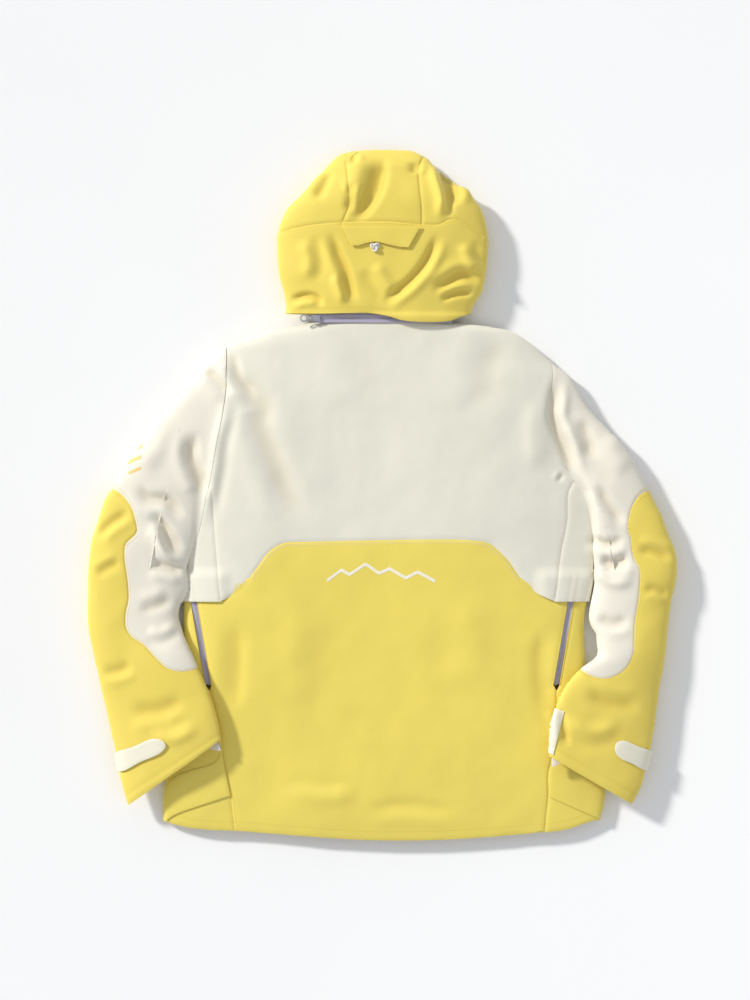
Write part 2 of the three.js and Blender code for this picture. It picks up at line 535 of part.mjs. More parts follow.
function sleeveRing(ws, from, to, insetOuter, insetInner) {
  const skin = (inset) => (degrees, w) => sleevePoint(degrees * RAD, lerp(from(degrees), to(degrees), w), inset);
  return sheetSolid(ringAngles, ws, skin(insetOuter), skin(insetInner), true);
}
const sleeveUpper = () => sleeveRing(steps(6), () => 0, (d) => seamAt(d) - 0.0004, 0, WALL);
const SEAM_TURN = 0.6; // degrees by which the forearm's columns keep clear of the seam where it runs lengthwise
function forearmPanel() {
  const turn = (degrees) => {
    const fold = Math.min(degrees, 360 - degrees);
    return fold > 60 && fold < 95 ? Math.sign(degrees - 180) * SEAM_TURN : 0;
  };
  const skin = (inset) => (degrees, w) =>
    sleevePoint((degrees + turn(degrees)) * RAD, lerp(seamAt(degrees) + 0.001, 1, w), inset);
  return sheetSolid(ringAngles, steps(7), skin(0), skin(WALL), true);
}
const GAITER = { from: 0.93, to: 1.035, thick: 2 };
const wristGaiter = () =>
  sleeveRing(steps(2), () => GAITER.from, () => GAITER.to, WALL + 2 * GAP, WALL + 2 * GAP + GAITER.thick);

// A strip lying on the sleeve between two angles and two places along it, lifted off the skin.
function sleevePatch({ from, to, start, end }, lift, thick, taper = 0) {
  const skin = (height) => (u, w) => {
    const narrow = taper * clamp((u - 0.86) / 0.14) ** 2;
    const t = lerp(start + narrow, end - narrow, w);
    return sleevePoint(lerp(from, to, u) * RAD, t, -height);
  };
  return sheetSolid(steps(8), steps(3), skin(lift + thick), skin(lift));
}
const PATCH = 0.9; // loop patch thickness
const CUFF_TAB_THICK = 2;
const TAB_TAPER = 0.0157; // how much each edge of the tab's free end turns in, as a share of the sleeve's length
const cuffTab = () => sleevePatch(CUFF_TAB, PATCH + 2 * GAP, CUFF_TAB_THICK, TAB_TAPER);
const LOOP_PATCH = { from: 40, to: 76, start: 0.85, end: 0.881 };
const loopPatch = () => sleevePatch(LOOP_PATCH, GAP, PATCH);

// Strap at the inner edge of the cuff: it stands out from the edge on the right and lies under it on the left.
const STRAP = { start: 0.8, end: 0.985, out: 14, thick: 1.6 };
function strapOut() {
  const skin = (side) => (u, w) => {
    const t = lerp(STRAP.start, STRAP.end, w);
    const out = lineAt(outerLine, t);
    const edge = lineAt(innerLine, t);
    const axis = out.sub(edge).normalize();
    const point = edge.clone().addScaledVector(axis, -lerp(GAP, STRAP.out, u));
    return v3(point.x, point.y, innerZ(t) + (side * STRAP.thick) / 2);
  };
  return sheetSolid(steps(2), steps(6), skin(1), skin(-1));
}
const strapUnder = () => sleevePatch({ from: 196, to: 228, start: STRAP.start, end: STRAP.end }, GAP, STRAP.thick);

// ---- other pieces on the body ----
const HEM_TAB = { inner: [[229, -449], [241, -385]], outer: [[317, -486], [319, -438]], thick: 1.6 };
function hemSideTab() {
  const skin = (lift) => (u, w) => {
    const along = ([a, b]) => [lerp(a[0], b[0], w), lerp(a[1], b[1], w)];
    const [inner, outer] = [along(HEM_TAB.inner), along(HEM_TAB.outer)];
    const x = lerp(inner[0], outer[0], u) * BODY_SCALE;
    const y = lerp(inner[1], outer[1], u);
    return v3(x, y, bodySkinZ(x, y) + 2 * GAP + lift);
  };
  return sheetSolid(steps(6), steps(4), skin(HEM_TAB.thick), skin(0));
}

// Free end of the yoke, which lies over the top of a vent zip.
const VENT_FLAP = { from: 205, to: 299, top: -106, thick: 1.5, rise: 1.6, overZip: 5, ramp: [248, 262] };
function ventFlap() {
  const { from, to, top, thick, rise, overZip, ramp } = VENT_FLAP;
  const skin = (lift) => (u, w) => {
    const place = lerp(from, to, u);
    const x = place * BODY_SCALE;
    const y = lerp(yokeSeam(x), top, w);
    const raised = smooth((FLAP_Y + 4 - y) / 10) * smooth((place - ramp[0]) / (ramp[1] - ramp[0]));
    const rest = bodySkinZ(x, y) + GAP + rise * smooth((place - 268) / 20);
    return v3(x, y, lerp(rest, Math.max(rest, VENT_Z + overZip), raised) + lift);
  };
  return sheetSolid(steps(6), [0, 0.4, 0.62, 0.75, 0.88, 1], skin(thick), skin(0));
}

const VENT_TAPE_START = 4;
const ventLength = Math.hypot(VENT_TOP[0] - VENT_END[0], VENT_TOP[1] - VENT_END[1]);
const ventTurn = Math.atan2(VENT_END[1] - VENT_TOP[1], VENT_END[0] - VENT_TOP[0]);
function ventZipTape() {
  const reach = ZIP_CHANNEL - GAP;
  const profile = [
    [-reach, -TAPE], [reach, -TAPE], [reach, 0], [TEETH_HALF, 0], [TEETH_HALF, TEETH], [-TEETH_HALF, TEETH],
    [-TEETH_HALF, 0], [-reach, 0],
  ];
  return alongX(profile, VENT_TAPE_START, ventLength - GAP);
}

const WIND_FLAP = { wider: 4, above: 6, below: 4, thick: 1.6 }; // against the zip tapes, the hem and the neck
function windFlap() {
  const { wider, above, below, thick } = WIND_FLAP;
  const half = FRONT_TAPE_HALF + wider;
  const low = FRONT_WALL + TAPE + 2 * GAP;
  return box(-half, half, hemY(0) + above, NECK_Y - below, low, low + thick);
}

// ---- assembly ----
const group = new THREE.Group();
function add(name, geometry, material) {
  const mesh = new THREE.Mesh(geometry, material);
  mesh.name = name;
  group.add(mesh);
  return mesh;
}
// The same piece on both sides; the left one is its mirror image.
function addPair(name, geometry, material) {
  add(`${name}_right`, geometry, material());
  add(`${name}_left`, mirrored(geometry), material());
}

add('back_yoke', backYoke(), cream());
add('back_lower_panel', backLowerPanel(), yellow());
addPair('side_panel_upper', upperSidePanel(), cream);
addPair('side_panel_lower', lowerSidePanel(), yellow);
addPair('front_yoke', frontYoke(), cream);
addPair('front_chest_band', chestBand(), yellow);
addPair('front_panel', frontPanel(), yellow);
addPair('vent_flap', ventFlap(), cream);
addPair('hem_side_tab', hemSideTab(), yellow);
add('wind_flap', windFlap(), lining());
add('collar', collar(), lining());
add('hanger_loop', hangerLoop(), lavender());

const frontZipLow = HEM_Y + 8;
const frontZipHigh = NECK_Y - 6;
const PULL_LENGTH = { hood: 24, front: 30, vent: 22 };
const frontTape = alongX(tapeProfile(FRONT_TAPE_HALF), -frontZipHigh, -frontZipLow);
const FRONT_TAPE_Z = FRONT_WALL + GAP;
for (const side of ['right', 'left']) {
  const tape = add(`front_zip_tape_${side}`, frontTape, lavender());
  tape.rotation.set(Math.PI, 0, -Math.PI / 2, 'ZXY');
  tape.position.z = FRONT_TAPE_Z;
  if (side === 'left') {
    tape.geometry = alongX(tapeProfile(FRONT_TAPE_HALF).map(([y, z]) => [-y, z]), -frontZipHigh, -frontZipLow);
  }
}
const hoodTape = tapeProfile(HOOD_ZIP_REACH);
const HOOD_TAPE_Z = BACK_Z - NECK_STEP + GAP + TAPE;
add('hood_zip_upper_tape', alongX(hoodTape, -HOOD_ZIP_HALF, HOOD_ZIP_HALF), lavender())
  .position.set(0, HOOD_ZIP_Y, HOOD_TAPE_Z);
add('hood_zip_lower_tape', alongX(hoodTape.map(([y, z]) => [-y, z]), -HOOD_ZIP_HALF, HOOD_ZIP_HALF), lavender())
  .position.set(0, HOOD_ZIP_Y, HOOD_TAPE_Z);

// A slider and its pull, lying at one place of a zip; turn is the direction that the pull points in.
function addSlider(name, place, turn, length, { ring = false, flipped = false, pinZ = LOW_PIN }) {
  for (const [part, geometry] of [['slider', zipSlider(pinZ)], ['pull', zipPull(length, ring, pinZ)]]) {
    const mesh = add(name.replace('*', part), geometry, metal());
    mesh.rotation.set(flipped ? Math.PI : 0, 0, turn, 'ZXY');
    mesh.position.set(...place);
  }
}
const hoodSliderAt = [HOOD_SLIDER_X, HOOD_ZIP_Y, HOOD_TAPE_Z];
addSlider('hood_zip_*', hoodSliderAt, Math.PI, PULL_LENGTH.hood, { ring: true, pinZ: HIGH_PIN });
addSlider('front_zip_*', [0, NECK_Y - 16, FRONT_TAPE_Z], -Math.PI / 2, PULL_LENGTH.front, { flipped: true });
for (const [side, sign] of [['right', 1], ['left', -1]]) {
  const tape = add(`vent_zip_tape_${side}`, ventZipTape(), lavender());
  const turn = sign > 0 ? ventTurn : -Math.PI - ventTurn;
  tape.rotation.z = turn;
  tape.position.set(sign * VENT_TOP[0], VENT_TOP[1], VENT_Z);
  const place = [Math.cos(turn) * VENT_SLIDER_AT, Math.sin(turn) * VENT_SLIDER_AT];
  const at = [sign * VENT_TOP[0] + place[0], VENT_TOP[1] + place[1], VENT_Z];
  addSlider(`vent_zip_*_${side}`, at, turn, PULL_LENGTH.vent, {});
}

add('hood_lower_panel', hoodLowerPanel(), yellow());
addPair('hood_side_panel', hoodSidePanel(), yellow);
add('hood_center_panel', hoodCenterPanel(), yellow());
add('hood_face_hem', hoodFaceHem(), lining());
add('hood_rear_flap', hoodRearFlap(), yellow());
add('hood_cord', hoodCord(), whiteCord());
add('hood_cord_knot', hoodCordKnot(), whiteCord());
add('hood_cord_eyelet', hoodCordEyelet(), metal());

addPair('sleeve_upper', sleeveUpper(), sleeveCream);
addPair('forearm_panel', forearmPanel(), yellow);
addPair('wrist_gaiter', wristGaiter(), knit);
addPair('cuff_tab', cuffTab(), cream);
addPair('cuff_loop_patch', loopPatch(), sleeveCream);
add('cuff_side_strap_right', strapOut(), sleeveCream());
add('cuff_side_strap_left', mirrored(strapUnder()), sleeveCream());

export default group;
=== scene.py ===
import bpy
import math
import numpy as np
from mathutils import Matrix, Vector
from mathutils.geometry import delaunay_2d_cdt
from mathutils.kdtree import KDTree


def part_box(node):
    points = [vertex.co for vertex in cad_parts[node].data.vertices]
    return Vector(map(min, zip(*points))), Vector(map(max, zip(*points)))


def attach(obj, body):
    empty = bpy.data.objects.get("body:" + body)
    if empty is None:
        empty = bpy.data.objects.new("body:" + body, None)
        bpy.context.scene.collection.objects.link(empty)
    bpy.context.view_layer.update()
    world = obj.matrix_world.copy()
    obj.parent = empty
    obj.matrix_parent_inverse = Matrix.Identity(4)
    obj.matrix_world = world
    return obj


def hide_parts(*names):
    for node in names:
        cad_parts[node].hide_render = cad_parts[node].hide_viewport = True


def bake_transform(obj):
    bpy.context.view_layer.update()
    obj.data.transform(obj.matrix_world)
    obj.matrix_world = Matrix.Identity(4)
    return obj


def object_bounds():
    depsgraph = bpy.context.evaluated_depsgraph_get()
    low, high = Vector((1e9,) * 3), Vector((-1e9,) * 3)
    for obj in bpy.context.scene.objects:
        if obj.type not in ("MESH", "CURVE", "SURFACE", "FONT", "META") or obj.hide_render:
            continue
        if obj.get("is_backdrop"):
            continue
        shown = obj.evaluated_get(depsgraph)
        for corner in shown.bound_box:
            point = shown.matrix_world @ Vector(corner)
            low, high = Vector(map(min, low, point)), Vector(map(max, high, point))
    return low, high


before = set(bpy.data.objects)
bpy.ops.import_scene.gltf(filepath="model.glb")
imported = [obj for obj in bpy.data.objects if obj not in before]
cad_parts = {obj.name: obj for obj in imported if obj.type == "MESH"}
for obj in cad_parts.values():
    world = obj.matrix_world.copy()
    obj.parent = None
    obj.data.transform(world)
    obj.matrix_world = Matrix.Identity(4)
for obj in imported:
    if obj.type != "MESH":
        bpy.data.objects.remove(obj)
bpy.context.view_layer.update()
SCENE = bpy.context.scene
MM = 0.001
RAD = math.pi / 180

# ------------------------------------------------------------------ camera, floor, light
CAMERA_HEIGHT = 4.02
camera_data = bpy.data.cameras.new("camera")
camera_data.sensor_fit = "VERTICAL"
camera_data.sensor_height = 36
camera_data.lens = 96
camera_data.clip_start = 0.05
camera_data.clip_end = 30
camera = bpy.data.objects.new("camera", camera_data)
camera.location = (-0.011, -0.006, CAMERA_HEIGHT)
SCENE.collection.objects.link(camera)
SCENE.camera = camera


def light(name, kind, place, target, energy, size, color=(1, 1, 1)):
    data = bpy.data.lights.new(name, kind)
    data.energy = energy
    data.color = color
    if kind == "AREA":
        data.shape = "SQUARE"
        data.size = size
    if kind == "SUN":
        data.angle = size
    o = bpy.data.objects.new(name, data)
    o.location = place
    o.rotation_euler = (Vector(target) - Vector(place)).to_track_quat("-Z", "Y").to_euler()
    SCENE.collection.objects.link(o)
    return o


light("key", "SUN", (-2.6, 1.9, 1.5), (0, 0, 0), 3.05, 6 * RAD, (1.0, 0.985, 0.95))
light("fill", "AREA", (1.8, -1.2, 2.6), (0, 0, 0), 7, 2.4, (0.94, 0.97, 1.0))
world = bpy.data.worlds.new("studio")
world.use_nodes = True
world.node_tree.nodes["Background"].inputs["Color"].default_value = (0.93, 0.95, 1.0, 1)
world.node_tree.nodes["Background"].inputs["Strength"].default_value = 0.55
SCENE.world = world
SCENE.view_settings.view_transform = "Standard"
SCENE.view_settings.look = "None"


# ------------------------------------------------------------------ materials
class Nodes:
    """Short names for building a node tree."""

    def __init__(self, name):
        self.material = bpy.data.materials.new(name)
        self.material.use_nodes = True
        self.tree = self.material.node_tree
        self.shader = self.tree.nodes["Principled BSDF"]
        self.place = self.add("ShaderNodeTexCoord").outputs["Object"]

    def add(self, kind, **values):
        node = self.tree.nodes.new(kind)
        for key, value in values.items():
            setattr(node, key, value)
        return node

    def put(self, socket, value):
        if isinstance(value, bpy.types.NodeSocket):
            self.tree.links.new(value, socket)
        else:
            socket.default_value = value

    def noise(self, scale, detail=3, rough=0.55, place=None):
        node = self.add("ShaderNodeTexNoise")
        self.put(node.inputs["Vector"], place or self.place)
        node.inputs["Scale"].default_value = scale
        node.inputs["Detail"].default_value = detail
        node.inputs["Roughness"].default_value = rough
        return node.outputs["Fac"]

    def wave(self, scale, direction, distort=0.0, place=None):
        node = self.add("ShaderNodeTexWave", wave_type="BANDS", bands_direction=direction)
        self.put(node.inputs["Vector"], place or self.place)
        node.inputs["Scale"].default_value = scale
        node.inputs["Distortion"].default_value = distort
        node.inputs["Detail"].default_value = 1
        return node.outputs["Fac"]

    def turned(self, angle, scale=(1, 1, 1)):
        node = self.add("ShaderNodeMapping")
        self.put(node.inputs["Vector"], self.place)
        node.inputs["Rotation"].default_value = (0, 0, angle)
        node.inputs["Scale"].default_value = scale
        return node.outputs["Vector"]

    def math(self, operation, a, b=0.0, c=0.0, clamp=False):
        node = self.add("ShaderNodeMath", operation=operation, use_clamp=clamp)
        for socket, value in zip(node.inputs, (a, b, c)):
            self.put(socket, value)
        return node.outputs[0]

    def fit(self, value, low, high, to_low, to_high):
        node = self.add("ShaderNodeMapRange")
        for socket, v in zip(node.inputs, (value, low, high, to_low, to_high)):
            self.put(socket, v)
        return node.outputs[0]

    def mix(self, share, a, b):
        node = self.add("ShaderNodeMix", data_type="RGBA")
        for key, v in (("Factor", share), ("A", a), ("B", b)):
            socket = [s for s in node.inputs if s.name == key and (s.type == "RGBA" or key == "Factor")][0]
            self.put(socket, v)
        return [s for s in node.outputs if s.type == "RGBA"][0]

    def attribute(self, name):
        return self.add("ShaderNodeAttribute", attribute_name=name).outputs["Fac"]

    def bump(self, height, strength, distance, normal=None):
        node = self.add("ShaderNodeBump")
        self.put(node.inputs["Height"], height)
        node.inputs["Strength"].default_value = strength
        node.inputs["Distance"].default_value = distance
        if normal is not None:
            self.put(node.inputs["Normal"], normal)
        return node.outputs["Normal"]


def linear(rgb):
    """Linear colour of an sRGB colour given from 0 to 255."""
    return tuple(v / 255 / 12.92 if v < 10 else ((v / 255 + 0.055) / 1.055) ** 2.4 for v in rgb) + (1,)


def shaded(rgba, by):
    return tuple(min(1, v * by) for v in rgba[:3]) + (1,)


WAVE_UNIT = 0.31416  # a wave texture's period at scale 1


def woven(name, rgb, crease_shade_tone=0.86, pitch=0.9, rough=0.62, sheen=0.25, weave=0.35, turn=0.0, worn=0.35):
    """Woven shell fabric: crossed yarns with painted shade in their low points, a faint mottle, painted
    shade in fold valleys and along seams, and worn edges.
    """
    n = Nodes(name)
    base = linear(rgb)
    place = n.turned(turn)
    warp = n.wave(WAVE_UNIT / (pitch * MM), "X", 0.6, place)
    weft = n.wave(WAVE_UNIT / (pitch * MM), "Y", 0.6, place)
    yarn = n.math("MULTIPLY", warp, weft)
    cross = n.math("MAXIMUM", n.math("MULTIPLY", warp, n.math("SUBTRACT", 1.0, weft)), yarn)
    blotch = n.noise(16, 2)
    melange = n.noise(900, 2, 0.7)
    tone = n.fit(n.math("ADD", n.math("MULTIPLY", blotch, 0.6), n.math("MULTIPLY", melange, 0.4)), 0.3, 0.7,
        0.0, 1.0)
    body = n.mix(tone, shaded(base, 0.965), shaded(base, 1.03))
    # painted shade: the weave's low points (low bump height) are coloured slightly darker
    body = n.mix(n.fit(cross, 0.0, 1.0, 0.10, 0.0), body, shaded(base, 0.80))
    # painted shade: fold valleys and seam grooves darken towards a warmer, deeper tone
    crease_shade = n.attribute("crease_shade")
    body = n.mix(n.fit(crease_shade, 0.0, 1.0, 0.0, 0.55), body,
        tuple(v * crease_shade_tone * d for v, d in zip(base[:3], (1, 0.93, 0.82))) + (1,))
    edge = n.math("MULTIPLY", n.attribute("wear"), n.fit(n.noise(240, 3), 0.42, 0.62, 0.0, 1.0))
    body = n.mix(n.math("MULTIPLY", edge, worn), body,
        tuple(min(1, v * 1.08 + 0.02) for v in base[:3]) + (1,))
    n.put(n.shader.inputs["Base Color"], body)
    n.put(n.shader.inputs["Roughness"], n.fit(n.math("ADD", n.math("MULTIPLY", cross, 0.5),
        n.math("MULTIPLY", n.noise(60), 0.5)), 0.2, 0.8, rough + 0.07, rough - 0.06))
    fuzz = n.bump(n.noise(2600, 2, 0.6), 0.10, 0.0002)
    n.put(n.shader.inputs["Normal"], n.bump(cross, weave, 0.00022, fuzz))
    n.shader.inputs["Sheen Weight"].default_value = sheen
    n.shader.inputs["Sheen Roughness"].default_value = 0.45
    n.shader.inputs["Specular IOR Level"].default_value = 0.28
    return n.material


def knitted(name, rgb, pitch=2.2, turn=0.0):
    n = Nodes(name)
    base = linear(rgb)
    place = n.turned(turn)
    rib = n.wave(WAVE_UNIT / (pitch * MM), "X", 0.8, place)
    loop = n.wave(WAVE_UNIT / (1.1 * MM), "Y", 1.5, place)
    # painted shade: the rib's grooves (low bump height) are coloured darker and its ridges lighter
    body = n.mix(rib, shaded(base, 0.82), shaded(base, 1.02))
    body = n.mix(n.fit(n.noise(500, 3), 0.35, 0.7, 0.0, 0.35), body, shaded(base, 0.9))
    n.put(n.shader.inputs["Base Color"], body)
    n.put(n.shader.inputs["Roughness"], n.fit(loop, 0, 1, 0.95, 0.8))
    height = n.math("ADD", n.math("MULTIPLY", rib, 0.8), n.math("MULTIPLY", loop, 0.2))
    n.put(n.shader.inputs["Normal"], n.bump(height, 0.7, 0.0006))
    n.shader.inputs["Sheen Weight"].default_value = 0.35
    return n.material


def metal(name, rgb, rough=0.32):
    n = Nodes(name)
    base = linear(rgb)
    brushed = n.noise(700, 4, 0.7, n.turned(0.4, (1, 6, 1)))
    n.put(n.shader.inputs["Base Color"], n.mix(n.fit(n.noise(160, 3), 0.4, 0.6, 0, 1), shaded(base, 0.82),
        shaded(base, 1.06)))
    n.put(n.shader.inputs["Roughness"], n.fit(brushed, 0.3, 0.7, rough - 0.08, rough + 0.12))
    n.put(n.shader.inputs["Normal"], n.bump(brushed, 0.15, 0.0001))
    n.shader.inputs["Metallic"].default_value = 1.0
    return n.material


def plastic(name, rgb, rough=0.4):
    n = Nodes(name)
    base = linear(rgb)
    n.put(n.shader.inputs["Base Color"], n.mix(n.fit(n.noise(300, 3), 0.4, 0.6, 0, 1), shaded(base, 0.93),
        shaded(base, 1.04)))
    n.put(n.shader.inputs["Roughness"], n.fit(n.noise(900, 3), 0.3, 0.7, rough - 0.06, rough + 0.1))
    n.put(n.shader.inputs["Normal"], n.bump(n.noise(1800, 2), 0.12, 0.0001))
    n.shader.inputs["Specular IOR Level"].default_value = 0.45
    return n.material


IVORY = (236, 233, 216)
YELLOW = (243, 222, 104)
# each shell's painted crease shade is darkest on the hood and forearm
M_CREAM = woven("shell_cream", IVORY, crease_shade_tone=0.93, worn=0.2)
M_SLEEVE = woven("shell_sleeve", (238, 233, 217), crease_shade_tone=0.88, turn=0.5, worn=0.2)
M_YELLOW = woven("shell_yellow", YELLOW, crease_shade_tone=0.9, worn=0.25)
M_YELLOW_HOOD = woven("shell_hood", (240, 217, 100), crease_shade_tone=0.78, worn=0.25)
M_YELLOW_SLEEVE = woven("shell_forearm", (240, 217, 100), crease_shade_tone=0.78, turn=0.45, worn=0.25)
M_TAB = woven("tab_cream", (240, 236, 214), pitch=0.8, weave=0.2, rough=0.55, worn=0.3)
M_LINING = woven("lining_tricot", (226, 218, 204), pitch=1.3, rough=0.8, weave=0.5, sheen=0.4)
M_TAPE = woven("zip_tape", (186, 180, 200), pitch=1.1, rough=0.6, weave=0.6, sheen=0.1)
M_TAPE_FILM = woven("zip_film", (196, 192, 210), pitch=1.6, rough=0.42, weave=0.12, sheen=0.0)
M_KNIT = knitted("gaiter_knit", (240, 228, 212))
M_PRINT = plastic("print_film", (250, 244, 226), 0.5)
M_PRINT_SLEEVE = plastic("print_sleeve", (238, 205, 120), 0.5)
M_METAL = metal("zip_metal", (206, 208, 212))
M_TEETH = plastic("zip_teeth", (178, 174, 190), 0.35)
M_THREAD_CREAM = plastic("thread_cream", (232, 226, 210), 0.7)
M_THREAD_YELLOW = plastic("thread_yellow", (232, 206, 92), 0.7)
M_CORD = knitted("cord_braid", (244, 240, 230), 1.2)
M_PIPING = woven("piping", (240, 214, 92), pitch=0.7, rough=0.5)

n = Nodes("floor")
n.put(n.shader.inputs["Base Color"], n.mix(n.fit(n.noise(2.2, 2), 0.3, 0.7, 0, 1), (0.975, 0.975, 0.97, 1),
    (0.99, 0.99, 0.985, 1)))
n.put(n.shader.inputs["Roughness"], n.fit(n.noise(30, 2), 0.3, 0.7, 0.9, 0.8))
M_FLOOR = n.material


# ------------------------------------------------------------------ small maths
def smooth(t):
    t = np.clip(t, 0, 1)
    return t * t * (3 - 2 * t)


class Through:
    """A smooth value through (place, value) pairs, without overshoot."""

    def __init__(self, pairs):
        p = np.array(sorted(pairs), float)
        self.x, self.y = p[:, 0], p[:, 1]
        h = np.diff(self.x)
        d = np.diff(self.y) / h
        self.m = np.zeros(len(p))
        for i in range(1, len(p) - 1):
            a, b = d[i - 1], d[i]
            self.m[i] = 2 * a * b / (a + b) if a * b > 0 else 0.0
        self.m[0], self.m[-1] = d[0], d[-1]

    def __call__(self, v):
        s = np.clip(v, self.x[0], self.x[-1])
        i = np.clip(np.searchsorted(self.x, s, side="right") - 1, 0, len(self.x) - 2)
        w = self.x[i + 1] - self.x[i]
        t = (s - self.x[i]) / w
        return (
            self.y[i]
            + t * t * (3 - 2 * t) * (self.y[i + 1] - self.y[i])
            + w * (self.m[i] * t * (1 - t) ** 2 - self.m[i + 1] * t * t * (1 - t))
        )


def spaced(line, step):
    line = np.asarray(line, float)
    along = np.concatenate([[0], np.cumsum(np.linalg.norm(np.diff(line, axis=0), axis=1))])
    at = np.linspace(0, along[-1], max(2, int(math.ceil(along[-1] / step)) + 1))
    return np.stack([np.interp(at, along, line[:, k]) for k in range(line.shape[1])], axis=1)


def curved(points, step=2.0, closed=False):
    """A smooth line through points (centripetal Catmull-Rom), with even spacing."""
    p = np.array(points, float)
    if len(p) < 3:
        return spaced(p, step)
    if closed:
        p = np.vstack([p[-1], p, p[0], p[1]])
    else:
        p = np.vstack([2 * p[0] - p[1], p, 2 * p[-1] - p[-2]])
    out = []
    for i in range(1, len(p) - 2):
        q = p[i - 1 : i + 3]
        k = np.concatenate([[0],
            np.cumsum(np.maximum(np.linalg.norm(np.diff(q, axis=0), axis=1), 1e-6) ** 0.5)])
        t = np.linspace(k[1], k[2], 24, endpoint=False)[:, None]
        a = [(k[j + 1] - t) / (k[j + 1] - k[j]) * q[j] + (t - k[j]) / (k[j + 1] - k[j]) * q[j + 1]
            for j in range(3)]
        b = [(k[j + 2] - t) / (k[j + 2] - k[j]) * a[j] + (t - k[j]) / (k[j + 2] - k[j]) * a[j + 1]
            for j in range(2)]
        out.append((k[2] - t) / (k[2] - k[1]) * b[0] + (t - k[1]) / (k[2] - k[1]) * b[1])
    out.append(p[-2][None] if not closed else p[1][None])
    return spaced(np.vstack(out), step)


class Wander:
    """Smooth 2-D noise from a table of seeded values, about -1 to 1."""

    def __init__(self, seed, size):
        self.table = np.random.default_rng(seed).uniform(-1, 1, (64, 64))
        self.size = size

    def __call__(self, x, y):
        u, v = np.asarray(x) / self.size + 1000, np.asarray(y) / self.size + 1000
        i, j = np.floor(u).astype(int), np.floor(v).astype(int)
        a, b = smooth(u - i), smooth(v - j)
        t = self.table
        g = lambda p, q: t[(i + p) % 64, (j + q) % 64]
        return (g(0, 0) * (1 - a) + g(1, 0) * a) * (1 - b) + (g(0, 1) * (1 - a) + g(1, 1) * a) * b


class Fold:
    """A ridge (height > 0) or valley along a line. left and right are its widths on either side of it."""

    def __init__(self, points, height, left, right=None, ends=0.3):
        self.line = curved(np.array(points, float) + OFFSET, 3.0)
        right = right or left
        wide = max(1.0, abs(height) / (0.62 * min(left, right)))
        self.height, self.left, self.right, self.ends = height, left * wide, right * wide, ends

    def __call__(self, x, y):
        out = np.zeros(len(x))
        reach = 3.2 * max(self.left, self.right)
        low, high = self.line.min(0) - reach, self.line.max(0) + reach
        near = np.flatnonzero((x > low[0]) & (x < high[0]) & (y > low[1]) & (y < high[1]))
        if not len(near):
            return out
        p = np.stack([x[near], y[near]], 1)
        best = np.full(len(p), 1e9)
        side = np.zeros(len(p))
        at = np.zeros(len(p))
        n = len(self.line) - 1
        for i in range(n):
            a, b = self.line[i], self.line[i + 1]
            d = b - a
            t = np.clip(((p - a) @ d) / max(d @ d, 1e-9), 0, 1)
            r = p - a - t[:, None] * d
            far = np.linalg.norm(r, axis=1)
            hit = far < best
            best[hit] = far[hit]
            side[hit] = (d[0] * r[hit, 1] - d[1] * r[hit, 0])
            at[hit] = (i + t[hit]) / n
        width = np.where(side > 0, self.left, self.right)
        taper = smooth(at / self.ends) * smooth((1 - at) / self.ends) if self.ends else 1.0
        u = best / width
        lip = np.where((side > 0) == (self.left >= self.right), 0.5 * np.exp(-1.3 * (u - 1.75) ** 2), 0)
        out[near] = FOLD_GAIN * self.height * (np.exp(-(u**2)) - lip) * taper
        return out


FOLD_GAIN = 1.45
OFFSET = np.array([9.0, 0.0])  # the drawn pattern's middle lies this far from the frame's


def row(points):
    return np.array(points, float) + OFFSET


